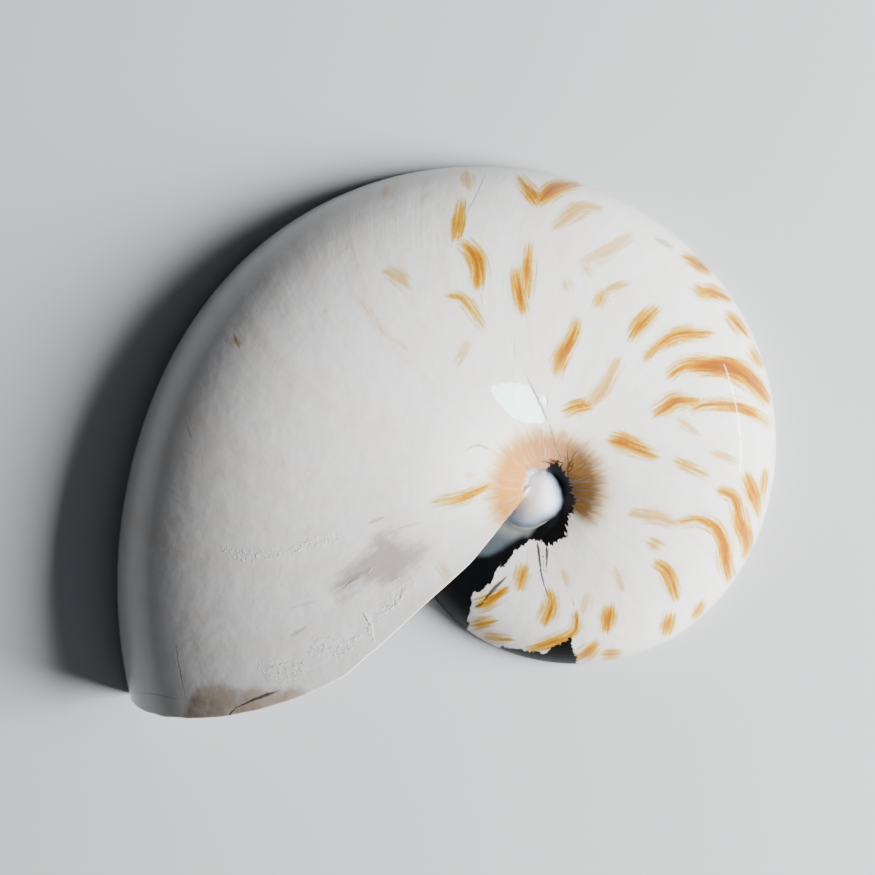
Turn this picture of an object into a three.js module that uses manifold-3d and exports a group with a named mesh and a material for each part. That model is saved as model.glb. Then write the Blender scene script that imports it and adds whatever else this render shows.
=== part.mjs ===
// Half of a chambered nautilus shell, sawn along its plane of symmetry and lying on the cut.
// Millimetres, +Z up. The cut lies on z = 0 and the coiling axis stands upright. The shell grows
// anticlockwise seen from above, and ends at the lip of its body chamber.
//
// Every place in the shell is found from three numbers: the growth angle in degrees, how far
// round the flank it lies (0 at the keel line on the cut, 1 at the umbilicus), and how far out
// it lies between the turn inside it (0) and its own outer wall (1).
import * as THREE from 'three';
import { mergeVertices } from 'three/addons/utils/BufferGeometryUtils.js';
import Module from 'manifold-3d';

const wasm = await Module();
wasm.setup();

// Growth: the radius of the outer edge of the turn, every 45 degrees of the last turn. The
// earlier turns are a true logarithmic spiral.
const OUTER_RADII = [34.1, 38.6, 45.0, 51.2, 59.7, 69.8, 81.3, 91.9, 110.0];
const OUTER_RADII_START = -135;
const OUTER_RADII_STEP = 45;
const TURN_RATIO = 3.2;

// The whorl's half section, in outer radii: a squarish arc from the edge to the widest place,
// then a rounded shoulder down into the umbilicus.
const HALF_BREADTH = 0.365;
const WIDEST_AT = 0.35;
const UMBILICUS_RADIUS = 0.05;
const UMBILICUS_HEIGHT = 0.2;
const FLANK_SQUARENESS = 2.3;
const SHOULDER_START = 0.72;

// The wall, and the space inside it.
const WALL_AT_START = 0.4;
const WALL_PER_RADIUS = 0.012;
const INNER_COAT_PER_RADIUS = 0.016;
const CORNER_TOP = { radius: 0.068, height: 0.175 };
const CORNER_FOOT = { radius: 0.085, height: 0.13 };

// The septa, counted back from the last one.
const SEPTUM_COUNT = 34;
const LAST_SEPTUM = 80;
const SEPTUM_GAP = 21;
const EXTRA_GAP_AT_START = 9;
const LAST_GAPS = [17, 19];
const SEPTUM_DISH = 17;
const SEPTUM_THICKNESS_AT_START = 0.35;
const SEPTUM_THICKNESS_PER_RADIUS = 0.006;
const SEPTUM_NEAREST_AXIS = 0.125;
const FIRST_CHAMBER_LENGTH = 55;

// How many steps a space takes round the flank and outwards, alike on both sides of a septum,
// and how many it takes along the growth.
const STEPS_ROUND = 6;
const STEPS_OUT = 4;
const BODY_CHAMBER_STEPS = 14;
const LARGE_CHAMBER_STEPS = 2;
const SMALL_CHAMBER_STEPS = 1;
const LARGE_CHAMBERS = 11;

// The siphuncle's bore, in outer radii.
const BORE_RADIUS = 0.013;
const BORE_HEIGHT = 0.43;
const BORE_SIDES = 6;
const BORE_STEP = 10;

// The lip: the edge of the body chamber, which stands further forward on the flank than at the
// edge, and turns back into the umbilicus.
const LIP_AT_EDGE = 207;
const LIP_FORWARD_ON_FLANK = 15;
const LIP_FULLY_FORWARD = 0.62;
const LIP_FORWARD_POWER = 1.6;
const LIP_TURNS_BACK = 0.8;
const LIP_TURN_BACK = 1200;
const PAST_THE_LIP = 228;

// The solid turns, in two lengths that meet at one section.
const SHELL_START = -165;
const TURNS_MEET = 0;
const STEP_ANGLE = 6.6;
const OUTSIDE_STEPS_ROUND = 14;
const CORE_RADIUS = 0.03;

// The callus and the pillar that it fills the umbilicus with.
const CALLUS = { x: -2, y: -6, z: 7.5, radiusX: 9, radiusY: 10, radiusZ: 7.5 };
const PILLAR = { radius: 4, height: 11 };

const BELOW_THE_CUT = -3;
const SIDES_OF_CALLUS = [20, 12];
const SIDES_OF_PILLAR = 20;

const radians = THREE.MathUtils.degToRad;
const { clamp, lerp } = THREE.MathUtils;

// The radius of the outer edge at a growth angle.
function outerRadius(angle) {
  const growth = Math.log(TURN_RATIO) / 360;
  if (angle < OUTER_RADII_START) {
    return OUTER_RADII[0] * Math.exp(growth * (angle - OUTER_RADII_START));
  }
  const logs = OUTER_RADII.map(Math.log);
  logs.unshift(logs[0] - growth * OUTER_RADII_STEP);
  logs.push(2 * logs.at(-1) - logs.at(-2));
  const place = (angle - OUTER_RADII_START) / OUTER_RADII_STEP;
  const step = clamp(Math.floor(place), 0, OUTER_RADII.length - 2);
  const t = place - step;
  const [a, b, c, d] = logs.slice(step, step + 4);
  const curve = 2 * b + (c - a) * t + (2 * a - 5 * b + 4 * c - d) * t * t + (3 * (b - c) + d - a) * t ** 3;
  return Math.exp(curve / 2);
}

// A half section of the given widest radius, breadth and corner, at a place round the flank.
function sectionPoint(round, edge, breadth, corner) {
  if (round <= SHOULDER_START) {
    const turn = (round / SHOULDER_START) * Math.PI / 2;
    const power = 2 / FLANK_SQUARENESS;
    return {
      radius: WIDEST_AT + (edge - WIDEST_AT) * Math.max(Math.cos(turn), 0) ** power,
      height: breadth * Math.sin(turn) ** power,
    };
  }
  const turn = ((round - SHOULDER_START) / (1 - SHOULDER_START)) * Math.PI / 2;
  return {
    radius: WIDEST_AT - (WIDEST_AT - corner.radius) * Math.sin(turn),
    height: corner.height + (breadth - corner.height) * Math.cos(turn),
  };
}

function scaled(point, factor) {
  return { radius: point.radius * factor, height: point.height * factor };
}

function between(a, b, t) {
  return { radius: lerp(a.radius, b.radius, t), height: lerp(a.height, b.height, t) };
}

// A section point set at its growth angle round the coiling axis.
function atAngle(point, angle) {
  const turn = radians(angle);
  return new THREE.Vector3(point.radius * Math.cos(turn), point.radius * Math.sin(turn), point.height);
}

// The outside of the shell.
function outside(angle, round) {
  const corner = { radius: UMBILICUS_RADIUS, height: UMBILICUS_HEIGHT };
  return scaled(sectionPoint(round, 1, HALF_BREADTH, corner), outerRadius(angle));
}

// The inside of the outer wall.
function wallInside(angle, round) {
  const radius = outerRadius(angle);
  const wall = WALL_PER_RADIUS + WALL_AT_START / radius;
  return scaled(sectionPoint(round, 1 - wall, HALF_BREADTH - wall, CORNER_TOP), radius);
}

// The floor of a chamber: the turn inside it, with a thin coat.
function floorOfChamber(angle, round) {
  const radius = outerRadius(angle);
  const coated = (at) => scaled(outside(angle - 360, at), 1 + INNER_COAT_PER_RADIUS);
  if (round <= SHOULDER_START) {
    return coated(round);
  }
  const past = (round - SHOULDER_START) / (1 - SHOULDER_START);
  return between(coated(SHOULDER_START), scaled(CORNER_FOOT, radius), past);
}

function lipAngle(round) {
  const forward = LIP_FORWARD_ON_FLANK * Math.min(round / LIP_FULLY_FORWARD, 1) ** LIP_FORWARD_POWER;
  return LIP_AT_EDGE + forward - LIP_TURN_BACK * Math.max(round - LIP_TURNS_BACK, 0) ** 2;
}

// The growth angles of the septa, from the first to the last.
function septumAngles() {
  const angles = [LAST_SEPTUM];
  for (let i = 1; i < SEPTUM_COUNT; i += 1) {
    const gap = LAST_GAPS[i - 1] ?? SEPTUM_GAP + EXTRA_GAP_AT_START * (i / SEPTUM_COUNT) ** 2;
    angles.push(angles.at(-1) - gap);
  }
  return angles.reverse();
}

// The growth angle of one side of a septum: side is -1 behind it, 1 in front of it. The septum is
// a dish that bulges back between its edges.
function septumFace(angle, round, out, side) {
  const dish = SEPTUM_DISH * 4 * out * (1 - out) * (1 - round * round);
  const radius = outerRadius(angle);
  const thickness = SEPTUM_THICKNESS_AT_START + SEPTUM_THICKNESS_PER_RADIUS * radius;
  const place = between(floorOfChamber(angle, round), wallInside(angle, round), out);
  const fromAxis = Math.max(place.radius, radius * SEPTUM_NEAREST_AXIS);
  return angle - dish + side * THREE.MathUtils.radToDeg(thickness / 2 / fromAxis);
}

function meshArrays(geometry) {
  geometry.deleteAttribute('normal');
  geometry.deleteAttribute('uv');
  const merged = mergeVertices(geometry);
  const vertProperties = new Float32Array(merged.attributes.position.array);
  const triVerts = new Uint32Array(merged.index.array);
  return { vertProperties, triVerts };
}

// A closed geometry bent to shape: place turns each of its points into a point of the shell.
function bent(geometry, place) {
  const { vertProperties, triVerts } = meshArrays(geometry);
  const point = new THREE.Vector3();
  for (let i = 0; i < vertProperties.length; i += 3) {
    place(point.fromArray(vertProperties, i)).toArray(vertProperties, i);
  }
  const solid = new wasm.Manifold(new wasm.Mesh({ numProp: 3, vertProperties, triVerts }));
  if (solid.volume() > 0) {
    return solid;
  }
  for (let i = 0; i < triVerts.length; i += 3) {
    [triVerts[i], triVerts[i + 1]] = [triVerts[i + 1], triVerts[i]];
  }
  return new wasm.Manifold(new wasm.Mesh({ numProp: 3, vertProperties, triVerts }));
}

// A unit block whose sides run round the flank (x), outwards (y) and along the growth (z).
function unitBlock(round, out, along) {
  return new THREE.BoxGeometry(1, 1, 1, round, out, along).translate(0.5, 0.5, 0.5);
}

// A length of the solid turn, between two growth angles that may change round the flank.
function solidTurn(start, end) {
  const steps = Math.round((end(0) - start) / STEP_ANGLE);
  return bent(unitBlock(OUTSIDE_STEPS_ROUND, 1, steps), ({ x, y, z }) => {
    const angle = lerp(start, end(x), z);
    const edge = outerRadius(angle);
    const core = { radius: CORE_RADIUS * edge, height: UMBILICUS_HEIGHT * edge * x };
    return atAngle(between(core, outside(angle, x), y), angle);
  });
}

// A space inside the turn, from one end to the other. Its foot reaches below the cut.
function space(back, front, stepsAlong) {
  const steps = STEPS_ROUND + 1;
  return bent(unitBlock(steps, STEPS_OUT, stepsAlong), ({ x, y, z }) => {
    const onFlank = Math.max((x * steps - 1) / STEPS_ROUND, 0);
    const angle = lerp(back(onFlank, y), front(onFlank, y), z);
    const section = between(floorOfChamber(angle, onFlank), wallInside(angle, onFlank), y);
    if (x < 0.5 / steps) {
      section.height = BELOW_THE_CUT;
    }
    return atAngle(section, angle);
  });
}

// The chambers, from the first to the last, each closed in front by its own septum.
function chambers() {
  const angles = septumAngles();
  const start = angles[0] - FIRST_CHAMBER_LENGTH;
  return angles.map((angle, i) => {
    const back = (round, out) => (i === 0 ? start : septumFace(angles[i - 1], round, out, 1));
    const front = (round, out) => septumFace(angle, round, out, -1);
    const large = i >= SEPTUM_COUNT - LARGE_CHAMBERS;
    return space(back, front, large ? LARGE_CHAMBER_STEPS : SMALL_CHAMBER_STEPS);
  });
}

function bodyChamber() {
  const back = (round, out) => septumFace(LAST_SEPTUM, round, out, 1);
  return space(back, () => PAST_THE_LIP, BODY_CHAMBER_STEPS);
}

// The siphuncle's bore, which notches every septum at the cut.
function bore() {
  const start = septumAngles()[0] - SEPTUM_DISH;
  const steps = Math.round((LAST_SEPTUM - start) / BORE_STEP);
  const rod = new THREE.CylinderGeometry(1, 1, 1, BORE_SIDES, steps).translate(0, 0.5, 0);
  return bent(rod, ({ x, y, z }) => {
    const angle = lerp(start, LAST_SEPTUM, y);
    const edge = outerRadius(angle);
    const line = between(floorOfChamber(angle, 0), wallInside(angle, 0), BORE_HEIGHT);
    line.radius += x * BORE_RADIUS * edge;
    line.height += z * BORE_RADIUS * edge;
    return atAngle(line, angle);
  });
}

function callus() {
  const { x, y, z, radiusX, radiusY, radiusZ } = CALLUS;
  const mound = new THREE.SphereGeometry(1, ...SIDES_OF_CALLUS);
  mound.rotateX(Math.PI / 2).scale(radiusX, radiusY, radiusZ).translate(x, y, z);
  return bent(mound, (point) => point);
}

function pillar() {
  const post = new THREE.CylinderGeometry(PILLAR.radius, PILLAR.radius, PILLAR.height, SIDES_OF_PILLAR);
  post.rotateX(Math.PI / 2).translate(0, 0, PILLAR.height / 2);
  return bent(post, (point) => point);
}

function shellGeometry() {
  const early = solidTurn(SHELL_START, () => TURNS_MEET);
  const late = solidTurn(TURNS_MEET, lipAngle);
  const mass = early.add(late).add(pillar()).add(callus());
  const hollow = chambers().reduce((all, chamber) => all.add(chamber), bodyChamber()).add(bore());
  const mesh = mass.subtract(hollow).getMesh();
  const geometry = new THREE.BufferGeometry();
  geometry.setAttribute('position', new THREE.BufferAttribute(mesh.vertProperties, 3));
  geometry.setIndex(new THREE.BufferAttribute(mesh.triVerts, 1));
  geometry.computeVertexNormals();
  return geometry;
}

const pearl = new THREE.MeshStandardMaterial({ color: 0xe6e3e0, roughness: 0.3, metalness: 0 });
const geometry = shellGeometry();
geometry.computeBoundingBox();
const shell = new THREE.Mesh(geometry, pearl);
shell.name = 'shell';

// The origin is under the middle of the half, on the surface that it lies on.
const middle = geometry.boundingBox.getCenter(new THREE.Vector3());
shell.position.set(-middle.x, -middle.y, 0);

const group = new THREE.Group();
group.add(shell);

export default group;
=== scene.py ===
"""Half of a chambered nautilus shell, sawn along its middle and lying on the cut.

Lengths in the classes are millimetres from the coiling axis, seen from above. The finished mesh
is in metres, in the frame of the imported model.
"""
import logging
import math
from dataclasses import dataclass, field
from enum import Enum
from typing import Iterable, Sequence, Union

import bpy
import numpy as np
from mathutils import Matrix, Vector


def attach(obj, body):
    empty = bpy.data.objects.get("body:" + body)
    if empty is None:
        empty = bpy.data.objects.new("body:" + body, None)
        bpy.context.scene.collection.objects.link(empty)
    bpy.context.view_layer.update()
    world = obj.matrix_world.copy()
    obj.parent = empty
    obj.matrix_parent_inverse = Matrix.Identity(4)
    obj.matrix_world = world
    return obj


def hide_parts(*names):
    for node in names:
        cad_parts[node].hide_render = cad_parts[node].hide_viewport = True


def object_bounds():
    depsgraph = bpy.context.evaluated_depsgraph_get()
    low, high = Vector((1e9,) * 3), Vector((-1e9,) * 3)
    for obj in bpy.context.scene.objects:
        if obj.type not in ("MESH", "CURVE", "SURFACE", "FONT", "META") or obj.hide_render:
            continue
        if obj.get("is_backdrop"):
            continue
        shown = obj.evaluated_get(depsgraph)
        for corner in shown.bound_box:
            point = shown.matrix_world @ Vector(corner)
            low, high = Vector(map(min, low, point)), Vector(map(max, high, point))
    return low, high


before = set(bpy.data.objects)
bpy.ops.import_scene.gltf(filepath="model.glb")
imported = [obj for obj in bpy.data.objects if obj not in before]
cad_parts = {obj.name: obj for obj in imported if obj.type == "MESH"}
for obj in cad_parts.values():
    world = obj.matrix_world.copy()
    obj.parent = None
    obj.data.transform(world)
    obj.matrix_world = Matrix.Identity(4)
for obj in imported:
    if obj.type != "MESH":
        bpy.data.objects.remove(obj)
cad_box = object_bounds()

log = logging.getLogger("nautilus")

Place = tuple[float, float]
Range = tuple[float, float]
Spot = tuple[float, float, float]
Colour = tuple[float, float, float]
Paint = tuple[float, float, float, float]
Value = Union["Term", float, int, tuple, str, bool, bpy.types.Material]

MILLIMETRE = 0.001
QUARTER_TURN = math.pi / 2
DEGREES = 180 / math.pi
NODE = "shell"
BODY = "root"


def paint(red: int, green: int, blue: int) -> Paint:
    """Turn a colour card value (0 to 255) into a linear colour.

    Args:
        red: the card's red.
        green: its green.
        blue: its blue.

    Returns:
        The linear colour, with no see-through.
    """
    cards = (red / 255, green / 255, blue / 255)
    linear = [c / 12.92 if c <= 0.04045 else ((c + 0.055) / 1.055) ** 2.4 for c in cards]
    return (*linear, 1.0)


def curve_through(knots: Sequence[np.ndarray], share: Union[float, np.ndarray]) -> np.ndarray:
    """Follow a smooth curve from the second of four knots to the third.

    Args:
        knots: the knot before, the two ends, and the knot after.
        share: how much of the way to go.

    Returns:
        The place on the curve.
    """
    a, b, c, d = knots
    curve = 2 * b + (c - a) * share + (2 * a - 5 * b + 4 * c - d) * share**2
    return (curve + (3 * (b - c) + d - a) * share**3) / 2


# ---------------------------------------------------------------------------------------------
# Node trees written as arithmetic
# ---------------------------------------------------------------------------------------------


class Kind(Enum):
    """The sockets that a node group takes and gives."""

    NUMBER = "NodeSocketFloat"
    COUNT = "NodeSocketInt"
    VECTOR = "NodeSocketVector"
    COLOUR = "NodeSocketColor"
    GEOMETRY = "NodeSocketGeometry"


@dataclass(frozen=True)
class Term:
    """A socket of a node tree, on which arithmetic makes further nodes."""

    tree: bpy.types.NodeTree
    socket: bpy.types.NodeSocket

    def sum(self, operation: str, *values: Value) -> "Term":
        """Make a Math node of this operation, fed with the values.

        Args:
            operation: the node's operation.
            values: what feeds its inputs, in order.

        Returns:
            Its result.
        """
        node = self.tree.nodes.new("ShaderNodeMath")
        node.operation = operation
        for socket, value in zip(node.inputs, values):
            feed(self.tree, socket, value)
        return Term(self.tree, node.outputs[0])

    def __add__(self, other: Value) -> "Term":
        """Add."""
        return self.sum("ADD", self, other)

    def __sub__(self, other: Value) -> "Term":
        """Subtract."""
        return self.sum("SUBTRACT", self, other)

    def __rsub__(self, other: Value) -> "Term":
        """Subtract from a number."""
        return self.sum("SUBTRACT", other, self)

    def __mul__(self, other: Value) -> "Term":
        """Multiply."""
        return self.sum("MULTIPLY", self, other)

    def __rmul__(self, other: Value) -> "Term":
        """Multiply a number."""
        return self.sum("MULTIPLY", other, self)

    def __truediv__(self, other: Value) -> "Term":
        """Divide."""
        return self.sum("DIVIDE", self, other)

    def __rtruediv__(self, other: Value) -> "Term":
        """Divide a number."""
        return self.sum("DIVIDE", other, self)

    def __pow__(self, other: Value) -> "Term":
        """Raise to a power."""
        return self.sum("POWER", self, other)

    def __lt__(self, other: Value) -> "Term":
        """1 where this is smaller, else 0."""
        return self.sum("LESS_THAN", self, other)

    def __gt__(self, other: Value) -> "Term":
        """1 where this is larger, else 0."""
        return self.sum("GREATER_THAN", self, other)

    def most(self, other: Value) -> "Term":
        """The larger of the two."""
        return self.sum("MAXIMUM", self, other)

    def least(self, other: Value) -> "Term":
        """The smaller of the two."""
        return self.sum("MINIMUM", self, other)

    def clamped(self) -> "Term":
        """Hold between 0 and 1."""
        return self.most(0.0).least(1.0)

    def sin(self) -> "Term":
        """Sine of radians."""
        return self.sum("SINE", self)

    def cos(self) -> "Term":
        """Cosine of radians."""
        return self.sum("COSINE", self)

    def floor(self) -> "Term":
        """Round down."""
        return self.sum("FLOOR", self)

    def absolute(self) -> "Term":
        """Drop the sign."""
        return self.sum("ABSOLUTE", self)

    def angle(self, across: "Term") -> "Term":
        """The turn in radians of a place whose height is this, over its way across."""
        return self.sum("ARCTAN2", self, across)

    def reach(self, across: "Term") -> "Term":
        """How far away a place is whose height is this, over its way across."""
        return (across * across + self * self) ** 0.5

    def radians(self) -> "Term":
        """Turn degrees into radians."""
        return self.sum("RADIANS", self)

    def towards(self, other: Value, share: Value) -> "Term":
        """Go from this to the other by a share of the way."""
        return self + (other - self) * share

    def ramp(self, low: float, high: float) -> "Term":
        """Rise smoothly from 0 at low to 1 at high. High may be the smaller of the two.

        Args:
            low: where the ramp is 0.
            high: where the ramp is 1.

        Returns:
            The ramp.
        """
        node = self.tree.nodes.new("ShaderNodeMapRange")
        node.interpolation_type = "SMOOTHSTEP"
        if low <= high:
            limits = (low, high, 0.0, 1.0)
        else:
            limits = (high, low, 1.0, 0.0)
        feed(self.tree, node.inputs[0], self)
        for socket, value in zip(node.inputs[1:5], limits):
            socket.default_value = value
        return Term(self.tree, node.outputs[0])


def feed(tree: bpy.types.NodeTree, socket: bpy.types.NodeSocket, value: Value) -> None:
    """Link a term to a socket, or set the socket to a value.

    Args:
        tree: the tree that holds the socket.
        socket: the input to feed.
        value: a term or a plain value.
    """
    if isinstance(value, Term):
        tree.links.new(value.socket, socket)
    else:
        socket.default_value = value


class Group:
    """A node group with named inputs and outputs."""

    def __init__(self, name: str, style: str, inputs: dict[str, tuple], outputs: dict[str, Kind]):
        """Make the group.

        Args:
            name: the group's name.
            style: the tree's type, for geometry or for a shader.
            inputs: each input's kind, and its value where it has one.
            outputs: each output's kind.
        """
        self.tree = bpy.data.node_groups.new(name, style)
        for label, (kind, *value) in inputs.items():
            socket = self.tree.interface.new_socket(
                name=label, in_out="INPUT", socket_type=kind.value
            )
            if value:
                socket.default_value = value[0]
        for label, kind in outputs.items():
            self.tree.interface.new_socket(name=label, in_out="OUTPUT", socket_type=kind.value)
        self._source = self.tree.nodes.new("NodeGroupInput")
        self._result = self.tree.nodes.new("NodeGroupOutput")

    def given(self, label: str) -> Term:
        """The term of a named input."""
        return Term(self.tree, self._source.outputs[label])

    def gives(self, **results: Value) -> None:
        """Feed the outputs, whose names are given with _ for a space."""
        for label, value in results.items():
            feed(self.tree, self._result.inputs[label.replace("_", " ")], value)

    def node(self, kind: str, inputs: dict, **settings: object) -> bpy.types.Node:
        """Make a node in this group's tree."""
        return make_node(self.tree, kind, inputs, **settings)

    def take(
        self, kind: str, inputs: dict, output: Union[int, str] = 0, **settings: object
    ) -> Term:
        """Make a node and take one of its outputs."""
        return Term(self.tree, self.node(kind, inputs, **settings).outputs[output])

    def used_in(self, tree: bpy.types.NodeTree, **inputs: Value) -> dict[str, Term]:
        """Place this group in a tree.

        Args:
            tree: the tree to place it in.
            inputs: values for its inputs, with _ for a space in their names.

        Returns:
            Its outputs by name.
        """
        grows = tree.bl_idname == "GeometryNodeTree"
        kind = "GeometryNodeGroup" if grows else "ShaderNodeGroup"
        node = tree.nodes.new(kind)
        node.node_tree = self.tree
        for label, value in inputs.items():
            feed(tree, node.inputs[label.replace("_", " ")], value)
        return {output.name: Term(tree, output) for output in node.outputs}


def make_node(
    tree: bpy.types.NodeTree, kind: str, inputs: dict, **settings: object
) -> bpy.types.Node:
    """Make a node.

    Args:
        tree: the tree to make it in.
        kind: the node's type.
        inputs: values or terms, by socket name or number. A list feeds one socket many times.
        settings: the node's own properties.

    Returns:
        The node.
    """
    node = tree.nodes.new(kind)
    for name, value in settings.items():
        setattr(node, name, value)
    for label, value in inputs.items():
        for item in value if isinstance(value, list) else [value]:
            feed(tree, node.inputs[label], item)
    return node


# ---------------------------------------------------------------------------------------------
# The growth rule
# ---------------------------------------------------------------------------------------------


@dataclass(frozen=True)
class GrowthRule:
    """How the tube winds round the coiling axis and what section it has."""

    outer_radii: tuple[float, ...] = (34.1, 38.6, 45.0, 51.2, 59.7, 69.8, 81.3, 91.9, 110.0)
    radii_start: float = -135.0
    radii_step: float = 45.0
    turn_ratio: float = 3.2
    half_breadth: float = 0.365
    widest_at: float = 0.35
    umbilicus_radius: float = 0.05
    umbilicus_height: float = 0.2
    squareness: float = 2.3
    shoulder_start: float = 0.72

    def outer_radius(self, angle: np.ndarray) -> np.ndarray:
        """The radius of the outer edge at growth angles in degrees.

        Args:
            angle: growth angles.

        Returns:
            Radii in millimetres.
        """
        growth = math.log(self.turn_ratio) / 360
        logs = np.log(self.outer_radii)
        ends = [logs[0] - growth * self.radii_step], [2 * logs[-1] - logs[-2]]
        logs = np.concatenate([ends[0], logs, ends[1]])
        place = (np.asarray(angle, float) - self.radii_start) / self.radii_step
        step = np.clip(np.floor(place), 0, len(self.outer_radii) - 2).astype(int)
        curve = curve_through([logs[step + i] for i in range(4)], place - step)
        early = logs[1] + growth * (angle - self.radii_start)
        return np.exp(np.where(place < 0, early, curve))

    def flank_place(self, places: np.ndarray) -> tuple[np.ndarray, np.ndarray]:
        """Where points of the outside lie in the growth.

        Args:
            places: points (x, y, z) in millimetres from the coiling axis.

        Returns:
            Their growth angles, and how far round the flank they are.
        """
        x, y, z = places.T
        turn = np.degrees(np.arctan2(y, x))
        last = np.where(turn < 0, turn + 360, turn)
        before = np.where(turn < 0, turn, turn - 360)
        rounds, misfits = [], []
        for angle in (last, before):
            edge = self.outer_radius(angle)
            out, up = np.hypot(x, y) / edge, np.maximum(z, 0) / edge
            half = self.squareness / 2
            side = (np.maximum(out - self.widest_at, 0) / (1 - self.widest_at)) ** half
            rise = (up / self.half_breadth) ** half
            inwards = (self.widest_at - out) / (self.widest_at - self.umbilicus_radius)
            upwards = (up - self.umbilicus_height) / (self.half_breadth - self.umbilicus_height)
            on_flank = out >= self.widest_at
            flank = self.shoulder_start * np.arctan2(rise, side) / QUARTER_TURN
            shoulder = np.arctan2(np.maximum(inwards, 0), upwards) / QUARTER_TURN
            shoulder = self.shoulder_start + (1 - self.shoulder_start) * shoulder
            rounds.append(np.where(on_flank, flank, shoulder))
            fit = np.where(on_flank, np.hypot(side, rise), np.hypot(inwards, upwards))
            misfits.append(np.abs(fit - 1))
        is_last = misfits[0] < misfits[1]
        return np.where(is_last, last, before), np.where(is_last, *rounds)


@dataclass(frozen=True)
class Hollows:
    """The wall, the chambers and the siphuncle's bore."""

    wall_at_start: float = 0.4
    wall_per_radius: float = 0.012
    coat_per_radius: float = 0.016
    corner_top: Place = (0.068, 0.175)
    corner_foot: Place = (0.085, 0.13)
    septa: int = 34
    last_septum: float = 80.0
    gap: float = 21.0
    extra_gap_at_start: float = 9.0
    last_gaps: Range = (17.0, 19.0)
    first_chamber: float = 55.0
    dish: float = 17.0
    septum_at_start: float = 0.35
    septum_per_radius: float = 0.006
    nearest_axis: float = 0.125
    bore_radius: float = 0.013
    neck_radius: float = 0.021
    neck_length: float = 5.0
    bore_height: float = 0.43
    bore_past: float = 20.0
    core_per_radius: float = 0.03


@dataclass(frozen=True)
class Lip:
    """The edge of the body chamber."""

    at_edge: float = 207.0
    forward: float = 15.0
    fully_forward: float = 0.62
    forward_power: float = 1.6
    turns_back: float = 0.8
    turn_back: float = 1200.0
    core_behind: float = 40.0
    past: float = 228.0
    edge_round: float = 0.6
    wobble: float = 0.5
    wobble_scale: float = 14.0


@dataclass(frozen=True)
class Callus:
    """The pearly mound in the umbilicus, which runs into the turn below it."""

    centre: Place = (-1.0, -1.5)
    top: float = 18.6
    reach: Place = (9.0, 14.0)
    reach_back: float = 16.0
    blend: float = 4.0
    sunk: float = 0.08
    half_size: float = 22.0
    pillar_radius: float = 4.0
    pillar_height: float = 14.0


@dataclass(frozen=True)
class Steps:
    """How finely each part of the shell is divided."""

    spine: float = 2.0
    spine_start: float = -1300.0
    spine_end: float = 240.0
    round_outside: int = 90
    fine: float = 0.5
    coarse: float = 1.0
    shell_start: float = -165.0
    fine_from: float = -60.0
    fine_to: float = 130.0
    ease_to_lip: float = 1.6
    round_inside: int = 20
    out_inside: int = 8
    chamber: int = 5
    body_chamber: int = 70
    below_the_cut: float = -3.0
    callus: int = 70
    pillar_sides: int = 48
    neck_sides: int = 14
    neck: int = 3
    bore_sides: int = 12
    bore: float = 5.0
    cutter: float = 300.0
    crumb: float = 100.0


class Zone(Enum):
    """The surfaces of the shell that look different."""

    OUTSIDE = "shell_outside"
    INSIDE = "shell_inside"
    SAWN = "shell_sawn"
    CALLUS = "shell_callus"


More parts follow.
